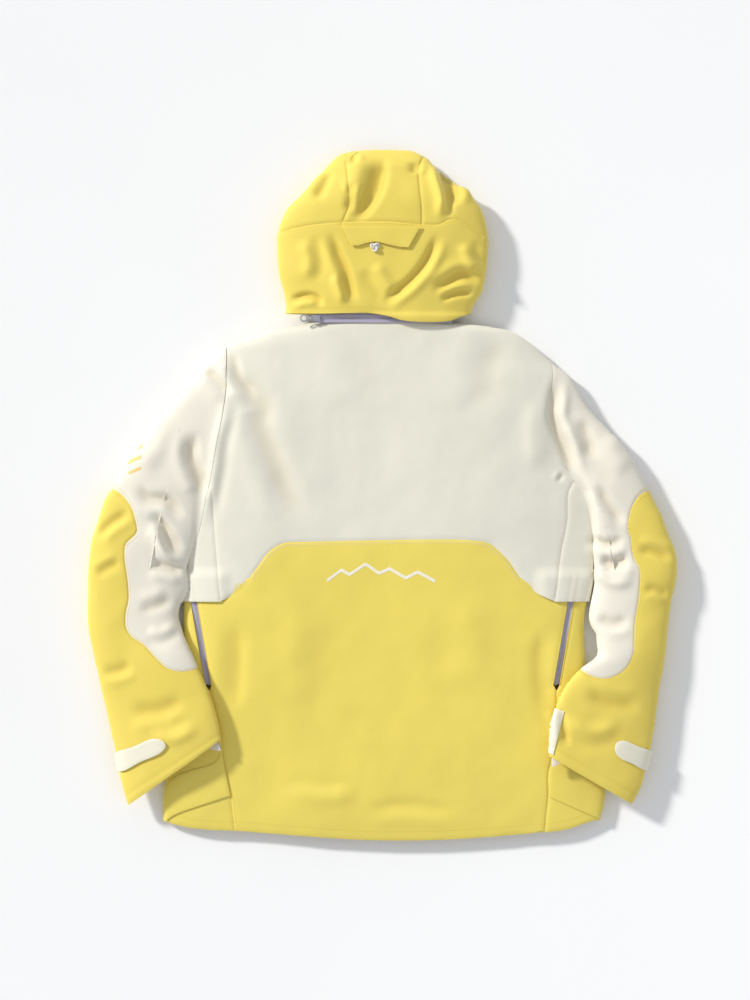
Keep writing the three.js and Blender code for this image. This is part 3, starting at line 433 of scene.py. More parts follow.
# ------------------------------------------------------------------ tubes
class Tube:
    """A closed section swept along v. Angle 0 is the +X edge or a sleeve's outer edge, pi / 2 the top."""

    def __init__(self, v0, v1, section, start=0.0):
        self.v0, self.v1, self.section = v0, v1, section
        self.vs = np.linspace(v0, v1, 121)
        self.angles = np.linspace(-math.pi, 2 * math.pi, 1081)
        self.start = start  # the angle at which the flat pattern's across value is 0
        grid = [section(np.full(len(self.angles), v), self.angles) for v in self.vs]
        zero = int(np.argmin(np.abs(self.angles - start)))
        rows = []
        for g in grid:
            along = np.concatenate([[0], np.cumsum(np.linalg.norm(np.diff(g, axis=0), axis=1))])
            rows.append(along - along[zero])
        self.across = np.array(rows)  # arc length at each (v, angle)
        middle = np.array([g.mean(0) for g in grid])
        self.long = np.concatenate([[0], np.cumsum(np.linalg.norm(np.diff(middle, axis=0), axis=1))])
        self.seams = []
        self.folds = []
        self.extra = []
        self.tree = None
        self.groove = 0.45
        self.groove_width = 2.2

    def flat(self, v, a):
        """Flat pattern place of (v, angle): across and along, in mm."""
        v, a = np.atleast_1d(v).astype(float), np.atleast_1d(a).astype(float)
        i = np.clip((v - self.v0) / (self.v1 - self.v0) * 120, 0, 119.9999)
        j = np.clip((a + math.pi) / (3 * math.pi) * 1080, 0, 1079.9999)
        i0, j0 = i.astype(int), j.astype(int)
        fi, fj = i - i0, j - j0
        t = self.across
        w = (t[i0, j0] * (1 - fi) + t[i0 + 1, j0] * fi) * (1 - fj) + (t[i0, j0 + 1] * (1 - fi) + t[i0 + 1,
            j0 + 1] * fi) * fj
        return np.stack([w, np.interp(v, self.vs, self.long)], 1)

    def back(self, flat):
        """(v, angle) of a flat pattern place."""
        v = np.interp(flat[:, 1], self.long, self.vs)
        low = np.full(len(v), -math.pi)
        high = np.full(len(v), 2 * math.pi)
        for _ in range(26):
            mid = (low + high) / 2
            less = self.flat(v, mid)[:, 0] < flat[:, 0]
            low, high = np.where(less, mid, low), np.where(less, high, mid)
        return v, (low + high) / 2

    def plain(self, v, a):
        return self.section(v, a)

    def normal(self, v, a):
        e, f = (self.v1 - self.v0) * 0.002, 0.004
        dv = self.plain(np.clip(v + e, self.v0, self.v1), a) - self.plain(np.clip(v - e, self.v0, self.v1),
            a)
        da = self.plain(v, a + f) - self.plain(v, a - f)
        n = np.cross(dv, da)
        n *= self.sign
        return n / np.maximum(np.linalg.norm(n, axis=1), 1e-9)[:, None]

    sign = 1.0

    def seam(self, v, a, groove=True):
        flat = self.flat(v, a)
        flat = spaced(flat, 1.5)
        if groove:
            self.seams.append(flat)
        return flat

    def close(self):
        points = np.vstack(self.seams)
        self.tree = KDTree(len(points))
        for i, p in enumerate(points):
            self.tree.insert((p[0], p[1], 0), i)
        self.tree.balance()

    def seam_distance(self, flat):
        return np.array([self.tree.find((p[0], p[1], 0))[2] for p in flat])

    def lift(self, v, a, p, flat):
        """Height of folds, sewn-in seams and unevenness at a place, and how much painted shade its fold
        valleys and seams get.
        """
        top = np.sin(a) >= 0
        d = np.zeros(len(p))
        for f in self.folds:
            d += np.where(top, f(p[:, 0], p[:, 1]), 0)
        # painted shade mask: deeper fold valleys get more, and seam grooves add some below
        crease_shade = smooth(-d / 5.0)
        for f in self.extra:
            d += f(v, a, p)
        far = self.seam_distance(flat)
        d -= self.groove * np.exp(-((far / self.groove_width) ** 2))
        d += 0.5 * (1 - np.exp(-far / 12))
        return d, np.clip(crease_shade + 0.35 * np.exp(-((far / 2.0) ** 2)), 0, 1), far

    def point(self, v, a):
        """Finished place, normal, painted crease shade and distance to the nearest seam."""
        p = self.plain(v, a)
        n = self.normal(v, a)
        flat = self.flat(v, a)
        d, crease_shade, far = self.lift(v, a, p, flat)
        out = p + n * d[:, None]
        out[:, 2] = np.maximum(out[:, 2], 0.25)
        return out, n, crease_shade, far


# ---- body
HALF_R = Through([(-517.5, 322), (-505, 325), (-490, 327), (-460, 331), (-440, 334), (-388, 328),
    (-300, 308), (-200, 303), (-112, 317), (-50, 326),
                  (30, 336), (100, 334), (140, 318), (175, 290), (203, 253), (222, 231), (236, 211),
                      (247, 190), (253, 162), (257, 136), (260, 116)])
HALF_L = Through([(-517.5, 318), (-505, 322), (-485, 329), (-437, 326), (-388, 318), (-300, 302),
    (-200, 297), (-112, 297), (-50, 310), (30, 324),
                  (100, 326), (140, 312), (175, 288), (210, 248), (225, 233), (234, 213), (243, 191),
                      (248, 171), (253, 143), (257, 122), (260, 112)])
BODY_TOP = Through([(-517.5, 17), (-480, 22), (-400, 27), (-300, 31), (-150, 35), (0, 38), (150, 39),
    (220, 38), (260, 38)])
EDGE_Z = 9.0
ARM_R = Through([(-112, 318), (-100, 317), (-60, 315), (-20, 309), (5, 299), (22, 287), (45, 274),
    (70, 267), (100, 256), (120, 250), (150, 252), (180, 254), (203, 253)])
ARM_L = Through([(-112, 297), (-90, 287), (-50, 273), (0, 262), (40, 253), (80, 246), (120, 238),
    (160, 233), (200, 232), (225, 233)])
TOP_Y = {1: 203.0, -1: 225.0}
HALF = {1: HALF_R, -1: HALF_L}
ARM = {1: ARM_R, -1: ARM_L}
ARMPIT = -112.0


def half_at(x, y):
    return np.where(x >= 0, HALF_R(y), HALF_L(y))


def body_section(y, a):
    c, s = np.cos(a), np.sin(a)
    q = np.abs(c) ** (2 / 3)
    x = np.sign(c) * half_at(c, y) * q
    top = EDGE_Z + (BODY_TOP(y) - EDGE_Z) * np.abs(s) ** (2 / 3)
    roll = np.clip((q - 0.8) / 0.2, 0, 1)
    low = 0.3 + (EDGE_Z - 0.3) * (1 - np.sqrt(1 - roll**2))
    return np.stack([x, y, np.where(s >= 0, top, low)], 1)


def body_angle(x, y, top=True):
    """Angle of a place on the body's top or underside."""
    x, y = np.asarray(x, float), np.asarray(y, float)
    q = np.clip(np.abs(x) / half_at(x, y), 0, 1)
    a = np.arccos(np.clip(q**1.5, 0, 1))
    a = np.where(x >= 0, a, math.pi - a)
    return a if top else -a


BODY = Tube(-519, 262, body_section, math.pi / 2)


# ---- hood
HOOD_R = Through([(272, 133), (281, 135), (307, 149), (320, 152), (352, 156), (382, 158), (396, 156),
    (425, 148), (447, 133), (465, 114), (480, 94), (491, 80), (505, 69), (513, 58), (518, 44)])
HOOD_L = Through([(272, 144), (280, 144), (303, 147), (326, 153), (354, 157), (386, 158), (409, 152),
    (430, 142), (451, 121), (475, 98), (502, 75), (514, 61), (518, 46)])
HOOD_TOP = Through([(272, 45), (300, 46), (430, 46), (490, 34), (518, 20)])
HOOD_EDGE = Through([(272, 22), (430, 22), (518, 12)])
HOOD_LOW = 4.1


def hood_section(y, a):
    c, s = np.cos(a), np.sin(a)
    x = np.sign(c) * np.where(c >= 0, HOOD_R(y), HOOD_L(y)) * np.abs(c) ** (2 / 2.6)
    rise = np.abs(s) ** (2 / 2.6)
    shut = np.sqrt(np.clip(1 - (np.clip(y - 490, 0, 28) / 28.2) ** 2, 0, 1))
    edge = HOOD_EDGE(y)
    z = np.where(s >= 0, edge + (HOOD_TOP(y) - edge) * rise * shut, edge - (edge - HOOD_LOW) * rise * shut)
    return np.stack([x, y, z], 1)


def hood_angle(x, y, top=True):
    x, y = np.asarray(x, float), np.asarray(y, float)
    half = np.where(x >= 0, HOOD_R(y), HOOD_L(y))
    a = np.arccos(np.clip((np.abs(x) / half), 0, 1) ** 1.3)
    a = np.where(x >= 0, a, math.pi - a)
    return a if top else -a


HOOD = Tube(256, 518, hood_section, math.pi / 2)


# ---- sleeves
def frac(line, points):
    """Shares of a line's length at its places nearest to points."""
    along = np.concatenate([[0], np.cumsum(np.linalg.norm(np.diff(line, axis=0), axis=1))])
    return [along[int(np.argmin(np.linalg.norm(line - p, axis=1)))] / along[-1] for p in points]


class Line:
    """A smooth outline that passes the station points at t = 0, 1/8, ... 1."""

    def __init__(self, points, stations, side):
        flip = np.array([side, 1.0])
        self.line = curved(row(points) * flip, 1.0)
        f = np.maximum.accumulate(frac(self.line, row(stations) * flip))
        f[0], f[-1] = 0.0, 1.0
        f = f + np.arange(len(f)) * 1e-5
        self.share = Through(list(zip(np.linspace(0, 1, len(f)), f / f[-1])))
        self.at = np.linspace(0, 1, len(self.line))

    def __call__(self, t):
        s = self.share(np.clip(t, 0, 1))
        p = np.stack([np.interp(s, self.at, self.line[:, k]) for k in (0, 1)], 1)
        over = np.clip(t - 1, 0, 1)[:, None] * 560
        d = self.line[-1] - self.line[-12]
        return p + over * d / np.linalg.norm(d)


OUTER_L = [(-242, 225), (-262, 208), (-280, 193), (-300, 170), (-320, 147), (-340, 122), (-360, 97),
    (-380, 65), (-400, 35), (-413, 12), (-422, 0), (-430, -22), (-438, -45), (-445, -65), (-448, -90),
        (-449, -120), (-449, -180), (-448, -200), (-440, -240), (-430, -290), (-420, -335), (-410, -375),
            (-405, -400), (-398, -435), (-390, -463)]
INNER_L = [(-306, -112), (-303, -118), (-300, -135), (-305, -150), (-314, -165), (-316, -180), (-310, -200),
    (-300, -225), (-285, -255), (-270, -290), (-256, -330), (-248, -363)]
OUTER_R = [(244, 203), (250, 196), (270, 183), (285, 166), (300, 145), (320, 118), (340, 92), (360, 62),
    (375, 38), (390, 10), (400, -12), (410, -32), (420, -60), (428, -80), (431, -95), (430, -120),
        (427, -140), (424, -160), (421, -190), (414, -250), (408, -280), (403, -310), (398, -345),
            (392, -380), (386, -410), (378, -440), (366, -462)]
INNER_R = [(309, -112), (310, -120), (309, -132), (306, -150), (303, -170), (303, -190), (312, -205),
    (313, -222), (314, -235), (308, -244), (299, -250), (285, -260), (268, -280), (257, -300), (250, -318),
        (244, -355), (240, -388)]
STATIONS = {
    -1: ([(-242, 225), (-340, 122), (-413, 12), (-447, -85), (-449, -180), (-436, -262), (-420, -335),
        (-407, -395), (-390, -463)],
         [(-306, -112), (-303, -118), (-301, -127), (-301, -140), (-316, -182), (-293, -240), (-272, -285),
             (-257, -325), (-248, -363)]),
    1: ([(244, 203), (320, 118), (390, 10), (430, -92), (424, -165), (415, -245), (405, -305), (390, -392),
        (366, -462)],
        [(309, -112), (310, -118), (309, -128), (307, -144), (303, -185), (299, -250), (266, -283),
            (250, -320), (240, -388)]),
}
LINES = {
    -1: (Line(OUTER_L, STATIONS[-1][0], -1), Line(INNER_L, STATIONS[-1][1], -1)),
    1: (Line(OUTER_R, STATIONS[1][0], 1), Line(INNER_R, STATIONS[1][1], 1)),
}
INNER_Z = Through([(0, 15.6), (0.25, 19.5), (0.5, 22), (0.625, 35), (0.75, 39), (1, 41)])
OUTER_Z = Through([(0, 15.6), (0.25, 19.5), (0.5, 18.9), (0.75, 20), (1, 25)])
SLEEVE_HEIGHT = Through([(0, 15), (0.2, 18.8), (0.5, 17.8), (0.75, 14.5), (1, 12)])
SLEEVE_POWER = 2.4


def sleeve_section(side):
    outer, inner = LINES[side]
    out0, in0 = outer(np.zeros(1))[0], inner(np.zeros(1))[0]

    def section(t, a):
        t, a = np.asarray(t, float), np.asarray(a, float)
        out, inn = outer(t), inner(t)
        middle, span = (out + inn) / 2, out - inn
        half = np.linalg.norm(span, axis=1) / 2
        axis = span / (2 * half)[:, None]
        c, s = np.cos(a), np.sin(a)
        across = np.sign(c) * np.abs(c) ** (2 / SLEEVE_POWER)
        rise = np.sign(s) * np.abs(s) ** (2 / SLEEVE_POWER)
        xy = middle + axis * (half * across)[:, None]
        z = INNER_Z(t) + (OUTER_Z(t) - INNER_Z(t)) * (1 + across) / 2 + SLEEVE_HEIGHT(t) * rise
        near = 1 - smooth(t / 0.22)
        y = np.clip(xy[:, 1], ARMPIT + 0.5, TOP_Y[side] - 0.5)
        chord = out0[0] + (in0[0] - out0[0]) * (TOP_Y[side] - y) / (TOP_Y[side] - ARMPIT)
        x = xy[:, 0] + near * (ARM[side](y) + 0.3 - chord)
        q = np.minimum(1, x / HALF[side](y))
        body = np.where(s >= 0, EDGE_Z + (BODY_TOP(y) - EDGE_Z) * (1 - q**3) ** (1 / 3),
                        0.3 + (EDGE_Z - 0.3) * (1 - np.sqrt(1 - np.clip((q - 0.8) / 0.2, 0, 1) ** 2)))
        z = z + (1 - smooth(t / 0.08)) * (body - z)
        return np.stack([x * side, xy[:, 1], np.maximum(z, 0.3)], 1)

    return section


SLEEVE = {}
for side in (1, -1):
    SLEEVE[side] = Tube(0, 1.03, sleeve_section(side), 0.0)
    SLEEVE[side].sign = -side


def locate(tube, points, top=True):
    """(v, angle) of places on a sleeve's top or underside, from their x and y."""
    points = np.asarray(points, float)
    low, high = (0.0, math.pi) if top else (-math.pi, 0.0)
    t, a = np.meshgrid(np.linspace(0, 1.03, 207), np.linspace(low, high, 181), indexing="ij")
    t, a = t.ravel(), a.ravel()
    grid = tube.plain(t, a)[:, :2]
    out_t, out_a = np.zeros(len(points)), np.zeros(len(points))
    for i, p in enumerate(points):
        k = int(np.argmin(((grid - p) ** 2).sum(1)))
        out_t[i], out_a[i] = t[k], a[k]
    for _ in range(12):
        p = tube.plain(out_t, out_a)[:, :2]
        e = 1e-3
        pt = (tube.plain(np.minimum(out_t + e, 1.03), out_a)[:, :2] - tube.plain(np.maximum(out_t - e, 0),
            out_a)[:, :2])
        pt /= (np.minimum(out_t + e, 1.03) - np.maximum(out_t - e, 0))[:, None]
        pa = (tube.plain(out_t, out_a + e)[:, :2] - tube.plain(out_t, out_a - e)[:, :2]) / (2 * e)
        r = points - p
        det = pt[:, 0] * pa[:, 1] - pt[:, 1] * pa[:, 0]
        det = np.where(np.abs(det) < 1, np.sign(det + 1e-12) * 1, det)
        dt = (r[:, 0] * pa[:, 1] - r[:, 1] * pa[:, 0]) / det
        da = (pt[:, 0] * r[:, 1] - pt[:, 1] * r[:, 0]) / det
        out_t = np.clip(out_t + np.clip(dt, -0.01, 0.01), 0, 1.03)
        out_a = np.clip(out_a + np.clip(da, -0.05, 0.05), low, high)
    return out_t, out_a


# ------------------------------------------------------------------ meshes
def mesh_object(name, points, faces, material, attributes=None, smooth_faces=True, sharp=()):
    data = bpy.data.meshes.new(name)
    points = np.asarray(points, float) * MM
    data.from_pydata(points.tolist(), [], [tuple(map(int, f)) for f in faces])
    for key, values in (attributes or {}).items():
        at = data.attributes.new(key, "FLOAT", "POINT")
        at.data.foreach_set("value", np.asarray(values, np.float32))
    data.polygons.foreach_set("use_smooth", np.full(len(data.polygons), smooth_faces))
    data.materials.append(material)
    data.update()
    if len(sharp):
        ends = np.zeros(len(data.edges) * 2, int)
        data.edges.foreach_get("vertices", ends)
        keys = {(min(a, b), max(a, b)) for a, b in sharp}
        hard = [(min(a, b), max(a, b)) in keys for a, b in ends.reshape(-1, 2).tolist()]
        data.attributes.new("sharp_edge", "BOOLEAN", "EDGE").data.foreach_set("value", hard)
    o = bpy.data.objects.new(name, data)
    SCENE.collection.objects.link(o)
    return o


def inside(points, loop):
    """Whether flat points lie inside a closed loop."""
    result = np.zeros(len(points), bool)
    a, b = loop, np.roll(loop, -1, axis=0)
    for (x0, y0), (x1, y1) in zip(a, b):
        if y0 == y1:
            continue
        crossing = (points[:, 1] > min(y0, y1)) & (points[:, 1] <= max(y0, y1))
        x = x0 + (points[:, 1] - y0) / (y1 - y0) * (x1 - x0)
        result ^= crossing & (points[:, 0] < x)
    return result


def tree_of(points):
    tree = KDTree(len(points))
    for i, p in enumerate(points):
        tree.insert((p[0], p[1], 0), i)
    tree.balance()
    return tree


def filled(loop, step):
    """Even triangles inside a closed flat loop: points, triangles and distances from the loop."""
    low, high = loop.min(0), loop.max(0)
    rows_ = np.arange(low[1], high[1] + step, step * 0.866)
    grid = np.vstack([
        np.stack([np.arange(low[0] + (k % 2) * step / 2, high[0] + step, step),
            np.full(len(np.arange(low[0] + (k % 2) * step / 2, high[0] + step, step)), y)], 1)
        for k, y in enumerate(rows_)
    ])
    grid = grid[inside(grid, loop)]
    tree = tree_of(loop)
    far = np.array([tree.find((p[0], p[1], 0))[2] for p in grid])
    grid = grid[far > 0.6 * step]
    points = [Vector(p) for p in np.vstack([loop, grid])]
    n = len(loop)
    verts, _, faces, _, _, _ = delaunay_2d_cdt(points, [(i, (i + 1) % n) for i in range(n)],
        [list(range(n))], 1, 1e-4)
    flat = np.array([tuple(v) for v in verts])
    far = np.array([tree.find((p[0], p[1], 0))[2] for p in flat])
    return flat, [tuple(f) for f in faces], far


def boundary_edges(faces):
    seen = {}
    for f in faces:
        for i in range(len(f)):
            a, b = f[i], f[(i + 1) % len(f)]
            seen[(a, b)] = 1
    return [(a, b) for (a, b) in seen if (b, a) not in seen]


def thickened(points, normals, faces, depth):
    """Closed solid from an outer skin: an inner skin at depth below it, and a rim between them."""
    n = len(points)
    inner = points - normals * depth[:, None]
    inner[:, 2] = np.maximum(inner[:, 2], 0.25)
    out = list(faces) + [tuple(i + n for i in reversed(f)) for f in faces]
    out += [(b, a, a + n, b + n) for a, b in boundary_edges(faces)]
    return np.vstack([points, inner]), out


def welded(points, faces, values, reach=0.02):
    """Joins points at the same place, such as the two sides of a ring's cut."""
    tree = KDTree(len(points))
    for i, p in enumerate(points):
        tree.insert(p, i)
    tree.balance()
    to = np.arange(len(points))
    for i, p in enumerate(points):
        to[i] = min(j for _, j, _ in tree.find_range(p, reach))
    kept = np.unique(to)
    place = {int(k): i for i, k in enumerate(kept)}
    new = [tuple(place[int(to[i])] for i in f) for f in faces]
    new = [f for f in new if len(set(f)) == len(f)]
    return points[kept], new, [v[kept] for v in values]


def panel(name, tube, loop, material, body, nodes, step=3.8, thick=2.4, ring=False, lift=None,
    blend=None, edge=0.4, sewn=None):
    """A padded fabric panel: the part of a tube inside a closed loop of (v, angle) curves."""
    v, a = (np.concatenate([c[k] for c in loop]) for k in (0, 1))
    flat = tube.flat(v, a)
    keep = np.concatenate([[True], np.linalg.norm(np.diff(flat, axis=0), axis=1) > 0.4])
    if np.linalg.norm(flat[0] - flat[-1]) < 0.4:
        keep[-1] = False
    flat = flat[keep]
    flat, faces, far = filled(flat, step)
    v, a = tube.back(flat)
    p, n, crease_shade, _ = tube.point(v, a)
    turned = edge * np.exp(-((far / 1.6) ** 2)) * (sewn(p) if sewn else 1.0)
    p = p - n * turned[:, None]
    if lift is not None:
        p = p + n * lift(v, a, p)[:, None]
    p[:, 2] = np.maximum(p[:, 2], 0.3)
    f = faces[0]
    side = np.cross(p[f[1]] - p[f[0]], p[f[2]] - p[f[0]]) @ n[f[0]]
    if side < 0:
        faces = [tuple(reversed(f)) for f in faces]
    wear = np.exp(-((far / 3.0) ** 2)) * (sewn(p) if sewn else 1.0)
    if ring:
        p, faces, (n, far, crease_shade, wear) = welded(p, faces, [n, far, crease_shade, wear], 0.35)
        n /= np.linalg.norm(n, axis=1)[:, None]
    depth = thick * (0.55 + 0.45 * smooth(far / 5)) - edge * np.exp(-((far / 1.6) ** 2)) * 0.5
    points, solid = thickened(p, n, faces, depth)
    rim = boundary_edges(faces)
    rim += [(i + len(p), j + len(p)) for i, j in rim]
    o = mesh_object(name, points, solid, material, {"wear": np.tile(wear, 2), "crease_shade": np.tile(crease_shade, 2)},
        sharp=rim)
    if nodes:
        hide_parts(*nodes)
    if blend:
        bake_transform(o)
    else:
        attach(o, body)
    return o


def top_xy(points, tube_angle=body_angle, top=True, step=3.0, bend=True):
    """(v, angle) of a curve through x, y places in the frame."""
    p = curved(points, step) if bend else spaced(np.array(points, float), step)
    return p[:, 1], tube_angle(p[:, 0], p[:, 1], top)


def along_v(y0, y1, a, step=3.0):
    """(v, angle) straight along the tube at one angle."""
    y = np.linspace(y0, y1, max(2, int(abs(y1 - y0) / step) + 1))
    return y, np.full(len(y), float(a))


def around(y, a0, a1, count):
    a = np.linspace(a0, a1, count)
    return np.full(count, float(y)), a


def stitch_run(tube, flat, offset=0.0, pitch=3.4, length=2.3, radius=0.27, up=0.12):
    """Places, directions and normals of stitches along a flat line, moved sideways by offset."""
    line = spaced(flat, pitch)
    d = np.gradient(line, axis=0)
    d /= np.maximum(np.linalg.norm(d, axis=1), 1e-9)[:, None]
    line = line + np.stack([-d[:, 1], d[:, 0]], 1) * offset
    v, a = tube.back(line)
    v2, a2 = tube.back(line + d * 0.8)
    p, n, _, _ = tube.point(v, a)
    q, _, _, _ = tube.point(v2, a2)
    t = q - p
    good = np.linalg.norm(t, axis=1) > 1e-6
    p, n, t = p[good], n[good], t[good]
    t /= np.linalg.norm(t, axis=1)[:, None]
    return p + n * up, t, n, length, radius


def stitches(name, runs, material, body, blend=None):
    """One mesh of small thread stitches."""
    points, faces, base = [], [], 0
    ring = [(math.cos(k * math.pi / 3), math.sin(k * math.pi / 3)) for k in range(6)]
    for p, t, n, length, radius in runs:
        b = np.cross(n, t)
        b /= np.maximum(np.linalg.norm(b, axis=1), 1e-9)[:, None]
        m = np.cross(t, b)
        for i in range(len(p)):
            stations = [(-0.5, 0.35, -0.35), (-0.3, 1.0, 0.1), (0.3, 1.0, 0.1), (0.5, 0.35, -0.35)]
            for s, r, h in stations:
                c = p[i] + t[i] * s * length + m[i] * h * radius
                points += [c + (b[i] * x + m[i] * y * 0.8) * r * radius for x, y in ring]
            for j in range(3):
                for k in range(6):
                    faces.append((base + j * 6 + k, base + j * 6 + (k + 1) % 6,
                        base + j * 6 + 6 + (k + 1) % 6, base + j * 6 + 6 + k))
            faces.append(tuple(base + k for k in reversed(range(6))))
            faces.append(tuple(base + 18 + k for k in range(6)))
            base += 24
    o = mesh_object(name, np.array(points), faces, material)
    if blend:
        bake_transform(o)
    else:
        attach(o, body)
    return o


def swept(name, path, radius, material, body, closed=False, sides=10, node=None):
    """A round cord-like mesh along a 3-D path."""
    path = np.asarray(path, float)
    d = np.roll(path, -1, 0) - np.roll(path, 1, 0) if closed else np.gradient(path, axis=0)
    d /= np.linalg.norm(d, axis=1)[:, None]
    up = np.array([0.0, 0.0, 1.0]) if abs(d[0][2]) < 0.8 else np.array([1.0, 0.0, 0.0])
    points, faces = [], []
    m = len(path)
    for i in range(m):
        b = np.cross(d[i], up)
        b /= np.linalg.norm(b)
        up = np.cross(b, d[i])
        for k in range(sides):
            w = 2 * math.pi * k / sides
            points.append(path[i] + radius * (b * math.cos(w) + up * math.sin(w)))
    for i in range(m if closed else m - 1):
        j = (i + 1) % m
        for k in range(sides):
            q = (k + 1) % sides
            faces.append((i * sides + k, j * sides + k, j * sides + q, i * sides + q))
    if not closed:
        faces.append(tuple(range(sides)))
        faces.append(tuple((m - 1) * sides + k for k in reversed(range(sides))))
    o = mesh_object(name, np.array(points), faces, material)
    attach(o, body)
    if node:
        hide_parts(node)
    return o


def ribbon(name, middle, side, normal, half, thick, material, body, nodes, columns=8, wobble=0.0,
    closed=False):
    """A flat woven band: its middle line, the direction across it, its normal, half width and thickness."""
    middle = np.asarray(middle, float)
    m = len(middle)
    side = np.broadcast_to(np.asarray(side, float), middle.shape)
    normal = np.broadcast_to(np.asarray(normal, float), middle.shape)
    noise = Wander(len(name) + 7, 14)
    u = np.linspace(-1, 1, columns + 1)
    grid = []
    for level in (1, -1):
        skin = []
        for w in u:
            p = middle + side * (half * w)
            round_off = thick / 2 * (1 - 0.55 * abs(w) ** 8)
            skin.append(p + normal * (level * round_off + wobble * noise(p[:, 0] + p[:, 2], p[:, 1]))[:,
                None])
        grid.append(np.array(skin))
    points = np.concatenate([grid[0].reshape(-1, 3), grid[1].reshape(-1, 3)])
    at = lambda s, c, r: s * (columns + 1) * m + c * m + r % m
    faces = []
    last = m if closed else m - 1
    for r in range(last):
        for c in range(columns):
            faces.append((at(0, c, r), at(0, c + 1, r), at(0, c + 1, r + 1), at(0, c, r + 1)))
            faces.append((at(1, c, r), at(1, c, r + 1), at(1, c + 1, r + 1), at(1, c + 1, r)))
        faces.append((at(0, 0, r), at(0, 0, r + 1), at(1, 0, r + 1), at(1, 0, r)))
        faces.append((at(0, columns, r), at(1, columns, r), at(1, columns, r + 1), at(0, columns, r + 1)))
    if not closed:
        for r, flip in ((0, False), (m - 1, True)):
            for c in range(columns):
                f = (at(0, c, r), at(1, c, r), at(1, c + 1, r), at(0, c + 1, r))
                faces.append(tuple(reversed(f)) if flip else f)
    wear = np.tile(np.repeat(np.abs(u) ** 6, m), 2)
    o = mesh_object(name, points, faces, material, {"wear": wear, "crease_shade": np.zeros(len(points))})
    if nodes:
        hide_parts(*nodes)
    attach(o, body)
    return o


def teeth(name, path, across, normal, body, pitch=1.7, reach=1.9, height=1.1, lift=0.0):
    """Two rows of interlocked zip teeth along a path."""
    path = spaced(path, pitch)
    d = np.gradient(path, axis=0)
    d /= np.linalg.norm(d, axis=1)[:, None]
    across, normal = np.asarray(across, float), np.asarray(normal, float)
    points, faces, base = [], [], 0
    for i, p in enumerate(path):
        hand = 1 if i % 2 else -1
        profile = [(-0.35, 0.42), (0.5, 0.5), (0.9, 0.3), (1.0, 0.26)]
        for u, w in profile:
            c = p + across * hand * (reach * (0.62 - u * 0.8)) + normal * lift
            t = d[i] * w * pitch
            h = normal * height * (0.5 if u > 0.95 else 0.62)
            points += [c - t, c + t, c + t * 0.7 + h, c - t * 0.7 + h]
        for k in range(3):
            for q in range(4):
                r = (q + 1) % 4
                faces.append((base + 4 * k + q, base + 4 * k + r, base + 4 * k + 4 + r,
                    base + 4 * k + 4 + q))
        faces.append((base + 3, base + 2, base + 1, base))
        faces.append((base + 12, base + 13, base + 14, base + 15))
        base += 16
    o = mesh_object(name, np.array(points), faces, M_TEETH, smooth_faces=False)
    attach(o, body)
    return o


# ------------------------------------------------------------------ cord and knot
cord_path = [(0.013, 0.384, 0.0478), (0.010, 0.394, 0.0478), (0.0, 0.398, 0.0478), (-0.009, 0.392, 0.0478),
    (-0.011, 0.380, 0.0478)]
curve = bpy.data.curves.new("hood_cord", "CURVE")
curve.dimensions = "3D"
curve.bevel_depth = 0.0015
curve.bevel_resolution = 4
curve.use_fill_caps = True
cord_line = curved(np.array(cord_path) / MM, 1.5) * MM
spline = curve.splines.new("POLY")
spline.points.add(len(cord_line) - 1)
for q, c in zip(spline.points, cord_line):
    q.co = (*c, 1)
curve.materials.append(M_CORD)
cord = bpy.data.objects.new("hood_cord_line", curve)
SCENE.collection.objects.link(cord)

KNOT_AT = np.array([-11.0, 371.0, 49.8])
w = np.linspace(0, 2 * math.pi, 72, endpoint=False)
trefoil = np.stack([np.sin(w) + 2 * np.sin(2 * w), np.cos(w) - 2 * np.cos(2 * w), -np.sin(3 * w)], 1)
knot = swept("hood_cord_knot_tied", KNOT_AT + trefoil * (2.15, 2.0, 1.5), 1.9, M_CORD, "hood",
    closed=True, node="hood_cord_knot")
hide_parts("hood_cord")
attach(cord, "hood")

# ------------------------------------------------------------------ seams and folds
V = np.array
NECK_Y = 259  # neck edge of the yoke
YOKE_FRONT_Y, BAND_Y = -66, -120  # the chest band's upper and lower seams on the front
ZIP_EDGE = 8.2  # half width of the front opening
CROWN_Y = 517.9  # far edge of the hood's panels
FACE_TOP = 468  # where the hood's side panels end beside the face opening
CUFF_SEAM = 0.972  # share of the sleeve's length
EDGE_TURN = 0.02  # angle by which top panels stop short of the side edge


def yx(points, step=3.0, bend=True, top=True):
    return top_xy(points, body_angle, top, step, bend)


def hx(points, step=3.0, bend=True, top=True):
    return top_xy(points, hood_angle, top, step, bend)


def flipped(curve):
    return curve[0][::-1], curve[1][::-1]


YOKE_LINE = row([(-250, -157), (-240, -152), (-220, -138), (-200, -112), (-180, -85), (-170, -77),
    (-155, -70), (-140, -69), (-100, -68), (0, -66), (60, -65), (120, -66), (150, -71), (165, -82),
        (180, -97), (190, -112), (200, -125), (212, -138), (225, -147), (240, -154), (248, -157)])
SIDE_SEAM = {
    1: V([(287, 22), (279, 5), (277, -40), (269, -80), (264, -115), (259, -150), (257, -157)], float),
    -1: V([(-257, 20), (-254, 0), (-252, -40), (-249, -80), (-246, -115), (-242, -150), (-241, -157)],
        float),
}
VENT = {side: (V([side * 289.5, -118.0]), V([side * 260.5, -284.0])) for side in (1, -1)}
SLOT = 5.4
HEM = row([(-330, -491), (-300, -498), (-260, -502), (-230, -503), (-190, -506), (-120, -511), (-60, -515),
    (0, -517), (80, -516), (150, -512), (200, -508), (240, -505), (270, -500), (300, -490), (312, -487)])
LOW_SEAM = {
    1: V([(261, -292), (262, -330), (258, -370), (254, -395), (249, -415), (249, -450), (246, -480),
        (244, -504)], float),
    -1: V([(-258, -292), (-249, -330), (-243, -360), (-241, -383), (-238, -400), (-228, -449), (-224, -480),
        (-221, -503)], float),
}
TURN_UNDER = 0.33  # how far round the edge a side panel goes before the front panel starts


